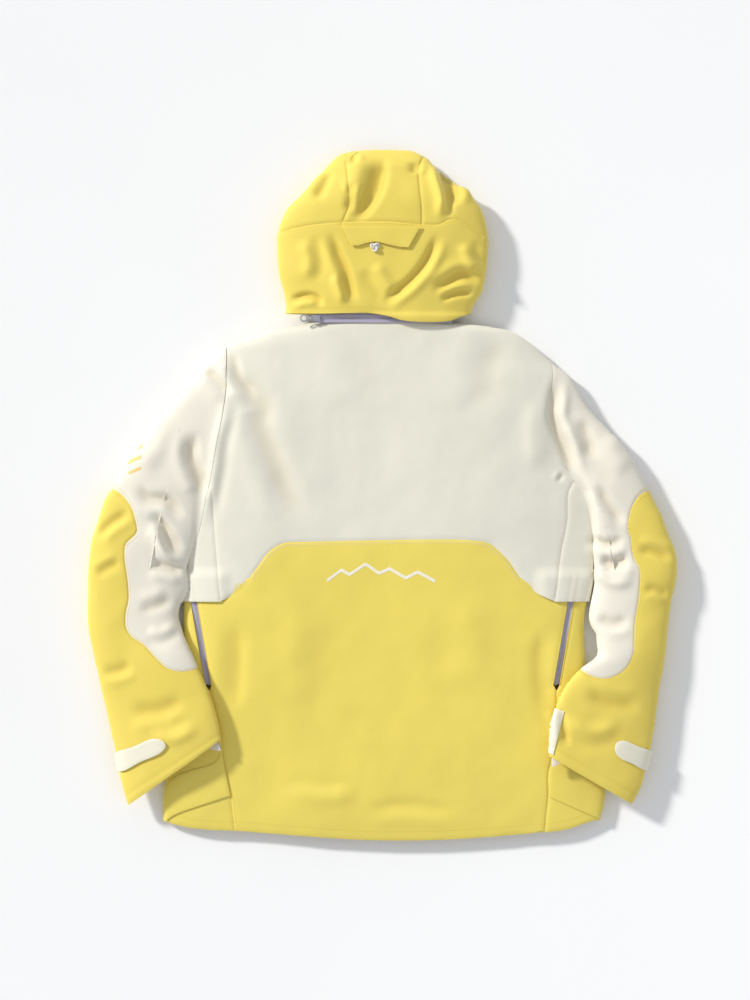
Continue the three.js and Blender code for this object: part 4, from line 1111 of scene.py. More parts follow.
def arm_curve(side, y0, y1, top=True):
    y = np.linspace(y0, y1, max(2, int(abs(y1 - y0) / 3) + 1))
    x = side * np.minimum(ARM[side](y) + 0.6, HALF[side](y) - 0.2)
    a = body_angle(x, y, top)
    return y, a


yoke_curve = yx(YOKE_LINE)
seam_curves = {side: yx(SIDE_SEAM[side]) for side in (1, -1)}
vent_curves = {}
for side in (1, -1):
    top_, end_ = VENT[side]
    d = (end_ - top_) / np.linalg.norm(end_ - top_)
    across = V([abs(d[1]), side * abs(d[0])]) * side
    down = [top_ + (end_ - top_) * k for k in (0.0, 0.5, 1.0)]
    inner_line = [p - across * SLOT for p in down]
    outer_line = [p + across * SLOT for p in down]
    vent_curves[side] = (yx(inner_line, bend=False), yx(outer_line, bend=False))
low_curves = {side: yx(LOW_SEAM[side]) for side in (1, -1)}
hem_curve = yx(HEM)

BODY.seam(*yoke_curve)
for side in (1, -1):
    BODY.seam(*seam_curves[side])
    BODY.seam(*low_curves[side])
    for c in vent_curves[side]:
        BODY.seam(*c)
BODY.seam(*hem_curve)
BODY.seam(*around(NECK_Y, 0, math.pi, 80))
for side in (1, -1):
    for y in (YOKE_FRONT_Y, BAND_Y):
        x = np.linspace(8, HALF[side](np.array([float(y)]))[0] - 1, 60) * side
        BODY.seam(np.full(60, float(y)), body_angle(x, np.full(60, float(y)), False))
    y = np.linspace(-517, NECK_Y, 200)
    BODY.seam(y, body_angle(np.full(200, 8.0 * side), y, False))
BODY.close()

ground = Wander(11, 95), Wander(12, 34), Wander(13, 150)


def body_drape(v, a, p):
    x, y = p[:, 0], p[:, 1]
    top = np.sin(a) > 0
    soft = 1.7 * ground[0](x, y) + 0.55 * ground[1](x, y) + 1.8 * ground[2](x + 40,
        y) + 0.12 * ground[1](x * 2.7, y * 2.7)
    return np.where(top, soft, 0.35 * soft)


BODY.extra.append(body_drape)
BODY.folds += [
    Fold([(-250, 218), (-232, 205), (-222, 180), (-205, 160), (-193, 145)], -3.2, 6, 11),
    Fold([(-225, 205), (-195, 150), (-185, 130), (-187, 105), (-170, 60), (-150, 10), (-135, -20),
        (-118, -50)], -3.4, 15, 22),
    Fold([(-240, 160), (-245, 120), (-255, 80), (-260, 40), (-268, 0), (-278, -50)], 2.6, 9, 8),
    Fold([(250, 185), (248, 150), (246, 120), (252, 100), (266, 70), (273, 45), (283, 22)], -5.0, 7, 6),
    Fold([(253, 20), (262, 35)], -1.5, 4),
    Fold([(225, 150), (215, 90), (222, 30)], 2.0, 22, 14),
    Fold([(-60, 250), (-80, 200), (-70, 120)], 1.3, 30, 30),
    Fold([(180, 240), (150, 190), (150, 120)], -1.6, 20, 26),
    Fold([(-230, -180), (-225, -240), (-232, -330)], -2.2, 12, 18),
    Fold([(230, -190), (226, -260), (235, -340)], -2.0, 16, 12),
    Fold([(-40, -470), (30, -462), (110, -474)], -1.4, 10, 12),
    Fold([(-160, -440), (-100, -452), (-40, -446)], 1.5, 12, 12),
    Fold([(100, -150), (130, -220), (120, -300)], 1.8, 26, 30),
    Fold([(-120, -160), (-140, -230), (-130, -320)], 1.8, 30, 26),
]

# hood
FLAP_EDGE = {1: row([(53, 510), (46, 490), (47, 460), (50, 430), (50, 405)]),
    -1: row([(-63, 500), (-59, 460), (-60, 430), (-70, 405)])}
HOOD_SEAM = row([(-160, 395), (-140, 400), (-110, 405), (-75, 408), (0, 409), (50, 405), (75, 405),
    (95, 413), (125, 400), (140, 388)])
HOOD_HEM = row([(-143, 273), (-100, 272), (-50, 273), (-30, 273), (0, 268), (20, 262), (60, 259), (95, 262),
    (108, 268), (122, 272)])
hood_seam_curve = hx(HOOD_SEAM)
hood_hem_curve = hx(HOOD_HEM)
centre_curves = {side: hx(FLAP_EDGE[side]) for side in (1, -1)}
HOOD.seam(*hood_seam_curve)
HOOD.seam(*hood_hem_curve)
for side in (1, -1):
    HOOD.seam(*centre_curves[side])
HOOD.close()
HOOD.groove = 0.7
hood_noise = Wander(21, 60), Wander(22, 24), Wander(23, 110)


def hood_drape(v, a, p):
    x, y = p[:, 0], p[:, 1]
    return np.where(np.sin(a) > 0, 1.7 * hood_noise[0](x, y) + 0.5 * hood_noise[1](x,
        y) + 1.4 * hood_noise[2](x, y), 0.4 * hood_noise[0](x, y))


HOOD.extra.append(hood_drape)
HOOD.folds += [
    Fold([(-8, 510), (-12, 480), (-18, 455), (-38, 425), (-60, 413)], -6.0, 5, 12),
    Fold([(-55, 470), (-58, 440), (-62, 420)], -2.5, 8, 8),
    Fold([(-55, 508), (-50, 495)], -2.0, 8),
    Fold([(40, 500), (38, 480)], -2.2, 9),
    Fold([(60, 500), (70, 470), (78, 440), (75, 410)], 4.0, 9, 8),
    Fold([(85, 495), (96, 460), (98, 430)], -4.5, 12, 12),
    Fold([(-88, 395), (-75, 365), (-62, 335), (-55, 310), (-45, 285)], -3.6, 6, 11),
    Fold([(75, 395), (55, 350), (30, 320), (5, 300), (-12, 283)], -3.8, 10, 6),
    Fold([(-85, 330), (-65, 285)], 2.4, 9, 7),
    Fold([(143, 320), (110, 328), (85, 315), (62, 303)], -3.2, 8, 12),
    Fold([(130, 303), (100, 300), (75, 290)], -3.0, 4, 7),
    Fold([(-150, 293), (-120, 300), (-105, 295), (-98, 280)], -3.2, 5, 8),
    Fold([(-20, 350), (-5, 320), (10, 300)], 2.2, 12, 14),
    Fold([(110, 380), (120, 350), (132, 330)], 2.4, 12, 10),
    Fold([(-130, 385), (-118, 350), (-125, 320)], 2.2, 12, 12),
    Fold([(-110, 440), (-95, 470), (-88, 490)], -2.6, 9, 9),
]

for fold in HOOD.folds:
    fold.height, fold.left, fold.right = fold.height * 1.3, fold.left * 0.82, fold.right * 0.82

# sleeves
BOUNDARY = {
    -1: row([(-414, 12), (-400, 3), (-385, -15), (-378, -35), (-376, -55), (-392, -72), (-394, -90),
        (-389, -130), (-388, -155), (-392, -175), (-392, -195), (-385, -208), (-365, -222), (-345, -243),
            (-330, -256), (-315, -261), (-295, -260), (-284, -256)]),
    1: row([(390, 10), (375, 0), (365, -15), (360, -30), (358, -50), (362, -62), (364, -80), (368, -95),
        (375, -108), (375, -140), (372, -165), (368, -190), (367, -215), (365, -235), (355, -255),
            (340, -267), (320, -272), (300, -267), (287, -259)]),
}
ARM_N = V([0.979, 0.202])
ARM_FROM, ARM_TO = 298.5, 318.0
sleeve_seams = {}
for side in (1, -1):
    t, a = locate(SLEEVE[side], curved(BOUNDARY[side], 4.0))
    a[0], a[-1] = 0.0, math.pi
    sleeve_seams[side] = (t, a)
    SLEEVE[side].seam(t, a)
    SLEEVE[side].seam(t, -a)
    w = np.linspace(-math.pi, math.pi, 120)
    SLEEVE[side].seam(np.full(120, 1.0), w)
    SLEEVE[side].seam(np.full(120, CUFF_SEAM), w)
    SLEEVE[side].close()


def sleeve_drape(side):
    noise = Wander(31 + side, 62), Wander(41 + side, 24)

    def f(v, a, p):
        x, y = p[:, 0], p[:, 1]
        soft = 1.8 * noise[0](x, y) + 0.5 * noise[1](x, y)
        share = smooth(v / 0.12)
        return np.where(np.sin(a) > 0, soft, 0.4 * soft) * share + body_drape(v, a, p) * (1 - share)

    return f


for side in (1, -1):
    SLEEVE[side].extra.append(sleeve_drape(side))
SLEEVE[-1].folds += [
    Fold([(-280, 192), (-265, 185), (-245, 165), (-232, 150)], -3.4, 6, 10),
    Fold([(-290, 100), (-292, 60), (-285, 38), (-275, 15), (-272, -5)], -5.0, 7, 11),
    Fold([(-375, 20), (-360, 0), (-330, -5), (-303, -35)], -4.0, 6, 12),
    Fold([(-360, -25), (-340, -35), (-325, -60), (-305, -85)], -4.2, 5, 9),
    Fold([(-350, -35), (-335, -85), (-305, -105)], 3.2, 7, 7),
    Fold([(-357, -98), (-330, -105), (-303, -112)], -3.8, 5, 8),
    Fold([(-440, -62), (-415, -40), (-385, -22)], -3.2, 6, 8),
    Fold([(-440, -120), (-415, -105), (-398, -98)], -2.4, 7, 7),
    Fold([(-330, 110), (-345, 70), (-375, 40)], 2.6, 16, 18),
    Fold([(-300, -300), (-340, -318), (-390, -322)], -2.6, 12, 12),
    Fold([(-280, -340), (-320, -362), (-360, -352)], 2.4, 9, 12),
    Fold([(-380, -250), (-410, -262), (-430, -260)], -2.2, 9, 9),
    Fold([(-320, -150), (-345, -165), (-375, -170)], -2.6, 8, 10),
    Fold([(-316, -190), (-340, -205), (-362, -200)], 2.2, 8, 8),
]
SLEEVE[1].folds += [
    Fold([(288, 120), (300, 80), (304, 50)], -3.2, 9, 14),
    Fold([(310, 20), (335, -20), (355, -45)], -3.6, 8, 10),
    Fold([(300, -60), (325, -70), (355, -64)], -3.4, 6, 9),
    Fold([(315, -92), (335, -100), (362, -90)], -4.2, 5, 8),
    Fold([(305, -110), (330, -130), (368, -128)], 2.8, 8, 8),
    Fold([(425, -95), (400, -85), (370, -80)], -3.0, 6, 8),
    Fold([(422, -150), (400, -140), (380, -138)], -2.2, 7, 7),
    Fold([(330, 95), (340, 60), (360, 35)], 2.4, 15, 16),
    Fold([(290, -290), (330, -310), (380, -312)], -2.6, 12, 12),
    Fold([(262, -330), (300, -350), (350, -340)], 2.4, 10, 12),
    Fold([(310, -180), (335, -190), (362, -184)], -2.6, 8, 9),
    Fold([(255, -312), (262, -345), (268, -375)], -3.0, 5, 8),
]

shared = BODY.folds + SLEEVE[1].folds + SLEEVE[-1].folds
for tube in (BODY, SLEEVE[1], SLEEVE[-1]):
    tube.folds = shared

# ------------------------------------------------------------------ body panels
BODY_NAME = "jacket_body"


def flap_lift(v, a, p):
    x, y = p[:, 0], p[:, 1]
    return 4.4 * smooth((-104 - y) / 20) * smooth((np.abs(x) - 222) / 25)


def cut(curve, y_low, y_high):
    v, a = curve
    keep = (v >= y_low) & (v <= y_high)
    return v[keep], a[keep]


yoke_loop = [
    yoke_curve,
    flipped(seam_curves[1]),
    arm_curve(1, 22, 201.5),
    along_v(203, NECK_Y, EDGE_TURN),
    around(NECK_Y, EDGE_TURN, math.pi - EDGE_TURN, 160),
    along_v(NECK_Y, 225, math.pi - EDGE_TURN),
    arm_curve(-1, 223.5, 20),
    seam_curves[-1],
]
panel("back_yoke_cloth", BODY, yoke_loop, M_CREAM, BODY_NAME, ["back_yoke"], step=3.6,
    lift=flap_lift)
for side, tag in ((1, "right"), (-1, "left")):
    zero = EDGE_TURN if side > 0 else math.pi - EDGE_TURN
    bottom_x = np.linspace(SIDE_SEAM[side][-1][0], side * (HALF[side](np.array([-158.0]))[0] - 0.3), 20)
    flap_edge = (np.full(20, -158.0), body_angle(bottom_x, np.full(20, -158.0)))
    loop = [seam_curves[side], flap_edge, along_v(-158, ARMPIT, zero), arm_curve(side, ARMPIT, 20)]
    panel(f"side_yoke_cloth_{tag}", BODY, loop, M_CREAM, BODY_NAME,
        [f"side_panel_upper_{tag}", f"vent_flap_{tag}"], step=3.4, lift=flap_lift)

middle_yoke = cut(yoke_curve, -124.0, 0.0)
lower_loop = [
    yx([(-281, -126), (-206, -126)], bend=False),
    middle_yoke,
    yx([(212, -126), (281, -126)], bend=False),
    cut(vent_curves[1][0], -284, -128),
    low_curves[1],
    flipped(yx([p for p in HEM if -221 < p[0] < 244])),
    flipped(low_curves[-1]),
    flipped(cut(vent_curves[-1][0], -284, -128)),
]
panel("back_lower_cloth", BODY, lower_loop, M_YELLOW, BODY_NAME, ["back_lower_panel"],
    step=3.6)
for side, tag in ((1, "right"), (-1, "left")):
    zero = 0.0 if side > 0 else math.pi
    under = -TURN_UNDER if side > 0 else math.pi + TURN_UNDER
    hem_y = -488.0
    start = vent_curves[side][1]
    ya = start[0][start[0] < -128][0]
    aa = start[1][start[0] < -128][0]
    hem_part = [p for p in HEM if (p[0] > 244 if side > 0 else p[0] < -221)]
    hem_part = hem_part if side > 0 else hem_part[::-1]
    loop = [
        cut(start, -284, -128),
        low_curves[side],
        yx(hem_part),
        around(hem_y, zero, under, 8),
        along_v(hem_y, ya, under),
        around(ya, under, aa, 14),
    ]
    panel(f"side_lower_cloth_{tag}", BODY, loop, M_YELLOW, BODY_NAME, [f"side_panel_lower_{tag}"],
        step=3.4)
    # underside
    far = lambda y: HALF[side](np.array([float(y)]))[0] - 0.3
    zip_line = lambda y0, y1: (lambda y: (y, body_angle(np.full(len(y), ZIP_EDGE * side), y,
        False)))(np.linspace(y0, y1, int(abs(y1 - y0) / 6) + 2))
    line = lambda y, x0, x1: (np.full(40, float(y)), body_angle(side * np.linspace(x0, x1, 40),
        np.full(40, float(y)), False))
    arm_under = arm_curve(side, 201.5 if side > 0 else 223.5, YOKE_FRONT_Y, False)
    chest = ARM[side](np.array([float(YOKE_FRONT_Y)]))[0] - 1
    edge_a = 0.0 if side > 0 else -math.pi
    neck_a = body_angle(np.array([ZIP_EDGE * side]), np.array([float(NECK_Y)]), False)[0]
    loop = [
        zip_line(YOKE_FRONT_Y, NECK_Y),
        around(NECK_Y, neck_a, edge_a - side * EDGE_TURN, 60),
        along_v(NECK_Y, TOP_Y[side], edge_a - side * EDGE_TURN),
        arm_under,
        line(YOKE_FRONT_Y, chest, ZIP_EDGE),
    ]
    panel(f"front_yoke_cloth_{tag}", BODY, loop, M_CREAM, BODY_NAME, [f"front_yoke_{tag}"],
        step=6.0)
    loop = [
        zip_line(BAND_Y, YOKE_FRONT_Y),
        line(YOKE_FRONT_Y, ZIP_EDGE, chest),
        arm_curve(side, YOKE_FRONT_Y, ARMPIT, False),
        line(BAND_Y, far(BAND_Y) - 6, ZIP_EDGE),
    ]
    panel(f"front_band_cloth_{tag}", BODY, loop, M_CREAM, BODY_NAME, [f"front_chest_band_{tag}"],
        step=6.0)
    turn = -TURN_UNDER if side > 0 else -math.pi + TURN_UNDER
    loop = [
        zip_line(-512, BAND_Y),
        line(BAND_Y, ZIP_EDGE, far(BAND_Y) - 8),
        along_v(-122, -489, turn),
        flipped((lambda w: (w[0], -w[1]))(yx(HEM[7:] if side > 0 else HEM[:8][::-1]))),
    ]
    panel(f"front_lower_cloth_{tag}", BODY, loop, M_YELLOW, BODY_NAME, [f"front_panel_{tag}"],
        step=6.5)

TABS = {
    1: ([(254, -395), (249, -415), (249, -450)], [(249, -450), (289, -468), (324, -484)],
        [(326, -482), (331, -460), (333, -440)], [(333, -440), (310, -416), (280, -402), (254, -395)]),
    -1: ([(-241, -385), (-238, -400), (-228, -449)], [(-228, -449), (-311, -478), (-324, -487)],
        [(-325, -487), (-327, -460), (-325, -438)], [(-325, -438), (-311, -422), (-291, -413), (-251, -400),
            (-241, -385)]),
}
for side, tag in ((1, "right"), (-1, "left")):
    loop = [yx(np.array(c, float), step=2.0) for c in TABS[side]]
    panel(f"hem_tab_cloth_{tag}", BODY, loop, M_YELLOW, BODY_NAME, [f"hem_side_tab_{tag}"],
        step=2.6, thick=1.5, lift=lambda v, a, p: np.full(len(p), 2.4))

# ------------------------------------------------------------------ sleeves
for side, tag in ((1, "right"), (-1, "left")):
    tube, body = SLEEVE[side], f"sleeve_{tag}"
    angles = np.linspace(-math.pi, math.pi, 140)
    low, high = np.zeros(140), np.full(140, 0.4)
    for _ in range(30):
        m = (low + high) / 2
        p = tube.plain(m, angles)
        less = (np.abs(p[:, 0]) * ARM_N[0] + p[:, 1] * ARM_N[1] < ARM_TO) & (p[:, 1] > ARMPIT)
        low, high = np.where(less, m, low), np.where(less, high, m)
    start = ((low + high) / 2, angles)
    clear = lambda p: smooth((ARM_TO - 3 - np.abs(p[:, 0]) * ARM_N[0] - p[:, 1] * ARM_N[1]) / 4)
    away = lambda p: smooth((np.abs(p[:, 0]) * ARM_N[0] + p[:, 1] * ARM_N[1] - ARM_TO - 3) / 4)
    start = (np.maximum(start[0], 0.002), angles)
    open_ = np.flatnonzero(start[0] > 0.008)
    strip = (start[0][open_[0] : open_[-1] + 1], angles[open_[0] : open_[-1] + 1])
    loop = [(np.full(len(strip[0]), 0.002), strip[1]), flipped(strip)]
    a_, b_ = V([side * ARM_N[0], ARM_N[1]]) * ARM_FROM * MM, V([side * ARM_N[0], ARM_N[1]]) * ARM_TO * MM
    panel(f"armhole_cloth_{tag}", tube, loop, M_SLEEVE, None, [], step=2.2,
        blend=("jacket_body", body, (*a_, 0.0), (*b_, 0.0)), sewn=clear)
    t, a = sleeve_seams[side]
    edge1 = np.linspace(start[0][-1], t[-1], 50)
    border = (np.concatenate([t[::-1], t[1:]]), np.concatenate([a[::-1], -a[1:]]))
    loop = [start, (edge1, np.full(50, math.pi)), border, (edge1[::-1], np.full(50, -math.pi))]
    panel(f"sleeve_upper_cloth_{tag}", tube, loop, M_SLEEVE, body, [f"sleeve_upper_{tag}"],
        step=3.6, ring=True, sewn=away)
    edge2 = np.linspace(t[-1], 1.0, 50)
    loop = [flipped(border), (edge2, np.full(50, math.pi)),
        (np.full(120, 1.0), np.linspace(math.pi, -math.pi, 120)), (edge2[::-1], np.full(50, -math.pi))]
    panel(f"forearm_cloth_{tag}", tube, loop, M_YELLOW_SLEEVE, body, [f"forearm_panel_{tag}"],
        step=3.6, ring=True)
    edge3 = np.linspace(0.955, 1.025, 12)
    w = np.linspace(-math.pi, math.pi, 120)
    mouth = 0.982 + 0.043 * smooth((np.abs(w) - 1.9) / 0.9)
    loop = [(np.full(120, 0.955), w), (edge3, np.full(12, math.pi)), (mouth[::-1], w[::-1]),
        (edge3[::-1], np.full(12, -math.pi))]
    panel(f"gaiter_knit_{tag}", tube, loop, M_KNIT, body, [f"wrist_gaiter_{tag}"], step=2.8,
        thick=1.4, ring=True, lift=lambda v, a, p: -4.6 + 0.35 * np.cos(a * 60))

TAB_SHAPE = {
    -1: row([(-407, -386), (-380, -374), (-352, -362), (-338, -363), (-331, -371), (-338, -382),
        (-368, -396), (-401, -411)]),
    1: row([(392, -384), (370, -373), (352, -365), (341, -367), (337, -377), (343, -389), (364, -400),
        (386, -410)]),
}
PATCH_SHAPE = {
    -1: row([(-380, -378), (-345, -366), (-341, -378), (-374, -393)]),
    1: row([(376, -380), (350, -368), (346, -386), (370, -399)]),
}
STRAP_SHAPE = {1: row([(247, -316), (262, -321), (246, -386), (238, -382)]),
    -1: row([(-263, -316), (-277, -321), (-266, -362), (-256, -352)])}
for side, tag in ((1, "right"), (-1, "left")):
    tube = SLEEVE[side]
    for name, shape, closed_curve, up, thick, node, slot_, body in (
        ("cuff_tab_cloth", TAB_SHAPE, True, 3.6, 1.7, "cuff_tab", "cream_shell", f"cuff_tab_{tag}"),
        ("cuff_patch_cloth", PATCH_SHAPE, False, 1.3, 0.9, "cuff_loop_patch", "cream_shell",
            f"sleeve_{tag}"),
        ("cuff_strap_cloth", STRAP_SHAPE, False, 2.0, 1.5, "cuff_side_strap", "cream_shell",
            f"sleeve_{tag}"),
    ):
        outline = curved(shape[side], 2.0,
            closed=True) if closed_curve else spaced(np.vstack([shape[side], shape[side][:1]]), 2.0)
        t, a = locate(tube, outline, not (side < 0 and node == "cuff_side_strap"))
        panel(f"{name}_{tag}", tube, [(t, a)], M_TAB, body, [f"{node}_{tag}"], step=2.2, thick=thick,
            lift=lambda v, a, p, up=up: np.full(len(p), up), edge=0.5)

# ------------------------------------------------------------------ hood
def face_x(y):
    """Half width of the face opening's edge."""
    y = np.asarray(y, float)
    return np.maximum(2.0, np.where(y < 380, 110.0,
        118 * np.sqrt(np.clip(1 - ((y - 380) / 98) ** 2, 0, 1)) - 8))


def face_curve(side, y0, y1, past=False):
    y = np.linspace(y0, y1, max(2, int(abs(y1 - y0) / 3)))
    a = hood_angle(side * face_x(y), y, False)
    return y, np.where(past, a + 2 * math.pi, a)


under_right = face_curve(1, 272, 272.5)[1][0]
under_left = face_curve(-1, 272, 272.5, True)[1][0]
a_right = float(hood_hem_curve[1].min())
a_left = float(hood_hem_curve[1].max())
seam_right = float(hood_seam_curve[1].min())
seam_left = float(hood_seam_curve[1].max())
y_r, y_l = float(hood_seam_curve[0][-1]), float(hood_seam_curve[0][0])
fr = face_curve(1, 388, 388.5)[1][0]
fl = face_curve(-1, 395, 395.5, True)[1][0]
lower_hood = [
    around(272, under_right, a_right, 30),
    flipped(hood_hem_curve),
    around(273, a_left, under_left, 30),
    face_curve(-1, 273, y_l, True),
    around(y_l, fl, seam_left, 40),
    hood_seam_curve,
    around(y_r, seam_right, fr, 40),
    face_curve(1, y_r, 272),
]
panel("hood_lower_cloth", HOOD, lower_hood, M_YELLOW_HOOD, "hood", ["hood_lower_panel"],
    step=3.0, lift=lambda v, a, p: 3.0 * smooth((276 - p[:, 1]) / 8) * (np.sin(a) > 0.3))
crown = {1: (centre_curves[1][0][0], centre_curves[1][1][0]),
    -1: (centre_curves[-1][0][0], centre_curves[-1][1][0])}
for side, tag in ((1, "right"), (-1, "left")):
    v, a = hood_seam_curve
    x_cut = FLAP_EDGE[side][-1][0]
    xs = hood_section(v, a)[:, 0]
    part = (v[xs > x_cut], a[xs > x_cut]) if side > 0 else (v[xs < x_cut], a[xs < x_cut])
    y_end = y_r if side > 0 else y_l
    zero = 0.0 if side > 0 else math.pi
    top_a = crown[side][1]
    face_end = FACE_TOP
    fa = face_curve(side, y_end, face_end, side < 0)
    loop = [
        part if side > 0 else flipped(part),
        around(y_end, seam_right if side > 0 else seam_left, fa[1][0], 40),
        fa,
        around(face_end, fa[1][-1], zero - side * 0.9, 12),
        (np.linspace(face_end, CROWN_Y, 16), np.linspace(zero - side * 0.9, zero - side * 0.5, 16)),
        around(CROWN_Y, zero - side * 0.5, top_a, 30),
        centre_curves[side],
    ]
    panel(f"hood_side_cloth_{tag}", HOOD, loop, M_YELLOW_HOOD, "hood", [f"hood_side_panel_{tag}"],
        step=3.0)
v, a = hood_seam_curve
xs = hood_section(v, a)[:, 0]
between = (xs < FLAP_EDGE[1][-1][0]) & (xs > FLAP_EDGE[-1][-1][0])
loop = [(v[between], a[between]), flipped(centre_curves[1]), around(CROWN_Y, crown[1][1], crown[-1][1], 40),
    centre_curves[-1]]
panel("hood_centre_cloth", HOOD, loop, M_YELLOW_HOOD, "hood", ["hood_center_panel"],
    step=2.8)

FLAP_SHAPE = row([(-70, 402), (-56, 373), (-45, 373), (-32, 377), (-20, 379), (-9, 377), (2, 374),
    (16, 371), (30, 370), (48, 402)])
loop = [hx(np.vstack([FLAP_SHAPE, FLAP_SHAPE[:1]]), step=2.0, bend=False)]
panel("hood_rear_flap_cloth", HOOD, loop, M_YELLOW_HOOD, "hood", ["hood_rear_flap"],
    step=2.2, thick=1.5, lift=lambda v, a, p: np.full(len(p), 4.2))
mirror = lambda c: (c[0][::-1], -math.pi - c[1][::-1])
border_r = (np.linspace(FACE_TOP, CROWN_Y, 16), np.linspace(-0.9, -0.5, 16))
face_r = face_curve(1, 477.4, FACE_TOP)
loop = [
    border_r,
    around(CROWN_Y, -0.5, 0.5 - math.pi, 40),
    mirror(border_r),
    around(FACE_TOP, 0.9 - math.pi, -math.pi - face_r[1][-1], 8),
    mirror(face_r),
    face_r,
    around(FACE_TOP, face_r[1][-1], -0.9, 8),
]
panel("hood_crown_cloth", HOOD, loop, M_YELLOW_HOOD, "hood", [], step=4.5)

y = np.concatenate([np.linspace(273, 380, 36), 380 + 98 * np.sin(np.linspace(0.02, math.pi / 2, 40))])
x = np.concatenate([np.full(36, 107.0), 107 * np.cos(np.linspace(0.02, math.pi / 2, 40))])
path = np.vstack([np.stack([x, y - 11 * (y > 380) * (y - 380) / 98], 1),
    np.stack([-x, y - 11 * (y > 380) * (y - 380) / 98], 1)[::-1][1:]])
under_z = hood_section(path[:, 1], hood_angle(path[:, 0], path[:, 1], False))[:, 2]
path3 = np.column_stack([path, np.maximum(under_z - 0.6, 3.0)])
d = np.gradient(path3, axis=0)
out = np.column_stack([d[:, 1], -d[:, 0], np.zeros(len(d))])
out /= np.linalg.norm(out, axis=1)[:, None]
hem_face = ribbon("hood_face_hem_cloth", path3, out, (0, 0, -1), 11, 3.0, M_YELLOW_HOOD, "hood",
    ["hood_face_hem"], 10, 0.35)

# ------------------------------------------------------------------ collar, front, zips
w = np.linspace(-90 + 14, 270 - 14, 150) * RAD
squared = lambda q: np.sign(q) * np.abs(q) ** 0.6
x, z = 92.5 * squared(np.cos(w)), 21.5 + 14.5 * squared(np.sin(w))
path3 = np.column_stack([x, np.full(150, 278.8), z])
d = np.gradient(path3, axis=0)
out = np.column_stack([d[:, 2], np.zeros(150), -d[:, 0]])
out /= np.linalg.norm(out, axis=1)[:, None]
collar = ribbon("collar_cloth", path3, (0, 1, 0), out, 20.8, 3.4, M_CREAM, BODY_NAME, ["collar"],
    14, 0.4)


def node_box(name):
    lo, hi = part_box(name)
    return np.array(lo) / MM, np.array(hi) / MM


lo, hi = node_box("hanger_loop")
w = np.linspace(0, math.pi, 40)
mid = (lo + hi) / 2
path3 = np.column_stack([mid[0] - (hi[0] - lo[0] - 2) / 2 * np.cos(w), np.full(40, mid[1]),
    hi[2] - 0.8 - (hi[2] - lo[2] - 1.6) * np.sin(w) ** 0.6])
d = np.gradient(path3, axis=0)
out = np.column_stack([d[:, 2], np.zeros(40), -d[:, 0]])
out /= np.linalg.norm(out, axis=1)[:, None]
ribbon("hanger_loop_band", path3, (0, 1, 0), out, (hi[1] - lo[1]) / 2 - 0.3, 1.2, M_TAPE, BODY_NAME,
    ["hanger_loop"], 6)

lo, hi = node_box("wind_flap")
y = np.linspace(lo[1], hi[1], 160)
flap = ribbon("wind_flap_cloth", np.column_stack([np.full(160, (lo[0] + hi[0]) / 2), y,
    np.full(160, (lo[2] + hi[2]) / 2)]), (1, 0, 0), (0, 0, 1), (hi[0] - lo[0]) / 2 - 0.3,
        hi[2] - lo[2] - 0.2, M_LINING, BODY_NAME, ["wind_flap"], 10, 0.3)
for side, tag in ((1, "right"), (-1, "left")):
    lo, hi = node_box(f"front_zip_tape_{tag}")
    y = np.linspace(lo[1], hi[1], 120)
    mid_x = (lo[0] + hi[0]) / 2
    ribbon(f"front_tape_{tag}", np.column_stack([np.full(120, mid_x), y, np.full(120, 5.95)]), (1, 0, 0),
        (0, 0, 1), (hi[0] - lo[0]) / 2, 1.2, M_TAPE, BODY_NAME, [f"front_zip_tape_{tag}"], 6)
    # vent zip
    top_, end_ = VENT[side]
    d = (end_ - top_) / np.linalg.norm(end_ - top_)
    cross = np.array([abs(d[1]), side * abs(d[0]), 0.0]) * side
    line2 = spaced([top_ + d * 1.0, end_ - d * 1.0], 3.0)
    middle = np.column_stack([line2, np.full(len(line2), 21.35)])
    ribbon(f"vent_tape_{tag}", middle, cross, (0, 0, 1), 5.2, 1.2, M_TAPE_FILM, BODY_NAME,
        [f"vent_zip_tape_{tag}"], 8)
    teeth(f"vent_teeth_{tag}", np.column_stack([line2, np.full(len(line2), 21.9)]), cross, (0, 0, 1),
        BODY_NAME, pitch=1.5, reach=1.9, height=0.9)
    v, a = vent_curves[side][1]
    keep = v < -150
    p, n_, _, _ = BODY.point(v[keep], a[keep])
    swept(f"vent_piping_{tag}", p - n_ * 0.1, 0.8, M_PIPING, BODY_NAME, sides=8)
    v, a = vent_curves[side][0]
    keep = v < -150
    p, n_, _, _ = BODY.point(v[keep], a[keep])
    swept(f"vent_bead_{tag}", p - n_ * 0.5, 0.7, M_PIPING, BODY_NAME, sides=8)
y = np.linspace(-508, 250, 60)
teeth("front_teeth", np.column_stack([np.zeros(60), y, np.full(60, 5.2)]), (1, 0, 0), (0, 0, -1), BODY_NAME,
    pitch=2.2, reach=2.1, height=1.3)
for place, tag in ((-1, "lower"), (1, "upper")):
    x = np.linspace(-104, 104, 90)
    ribbon(f"hood_tape_{tag}", np.column_stack([x, np.full(90, 265.2 + place * 3.5), np.full(90, 38.55)]),
        (0, 1, 0), (0, 0, 1), 3.1, 1.2, M_TAPE, BODY_NAME, [f"hood_zip_{tag}_tape"], 6)
x = np.linspace(-103, 103, 60)
teeth("hood_teeth", np.column_stack([x, np.full(60, 265.2), np.full(60, 39.1)]), (0, 1, 0), (0, 0, 1),
    BODY_NAME, pitch=1.6, reach=1.9, height=1.0)

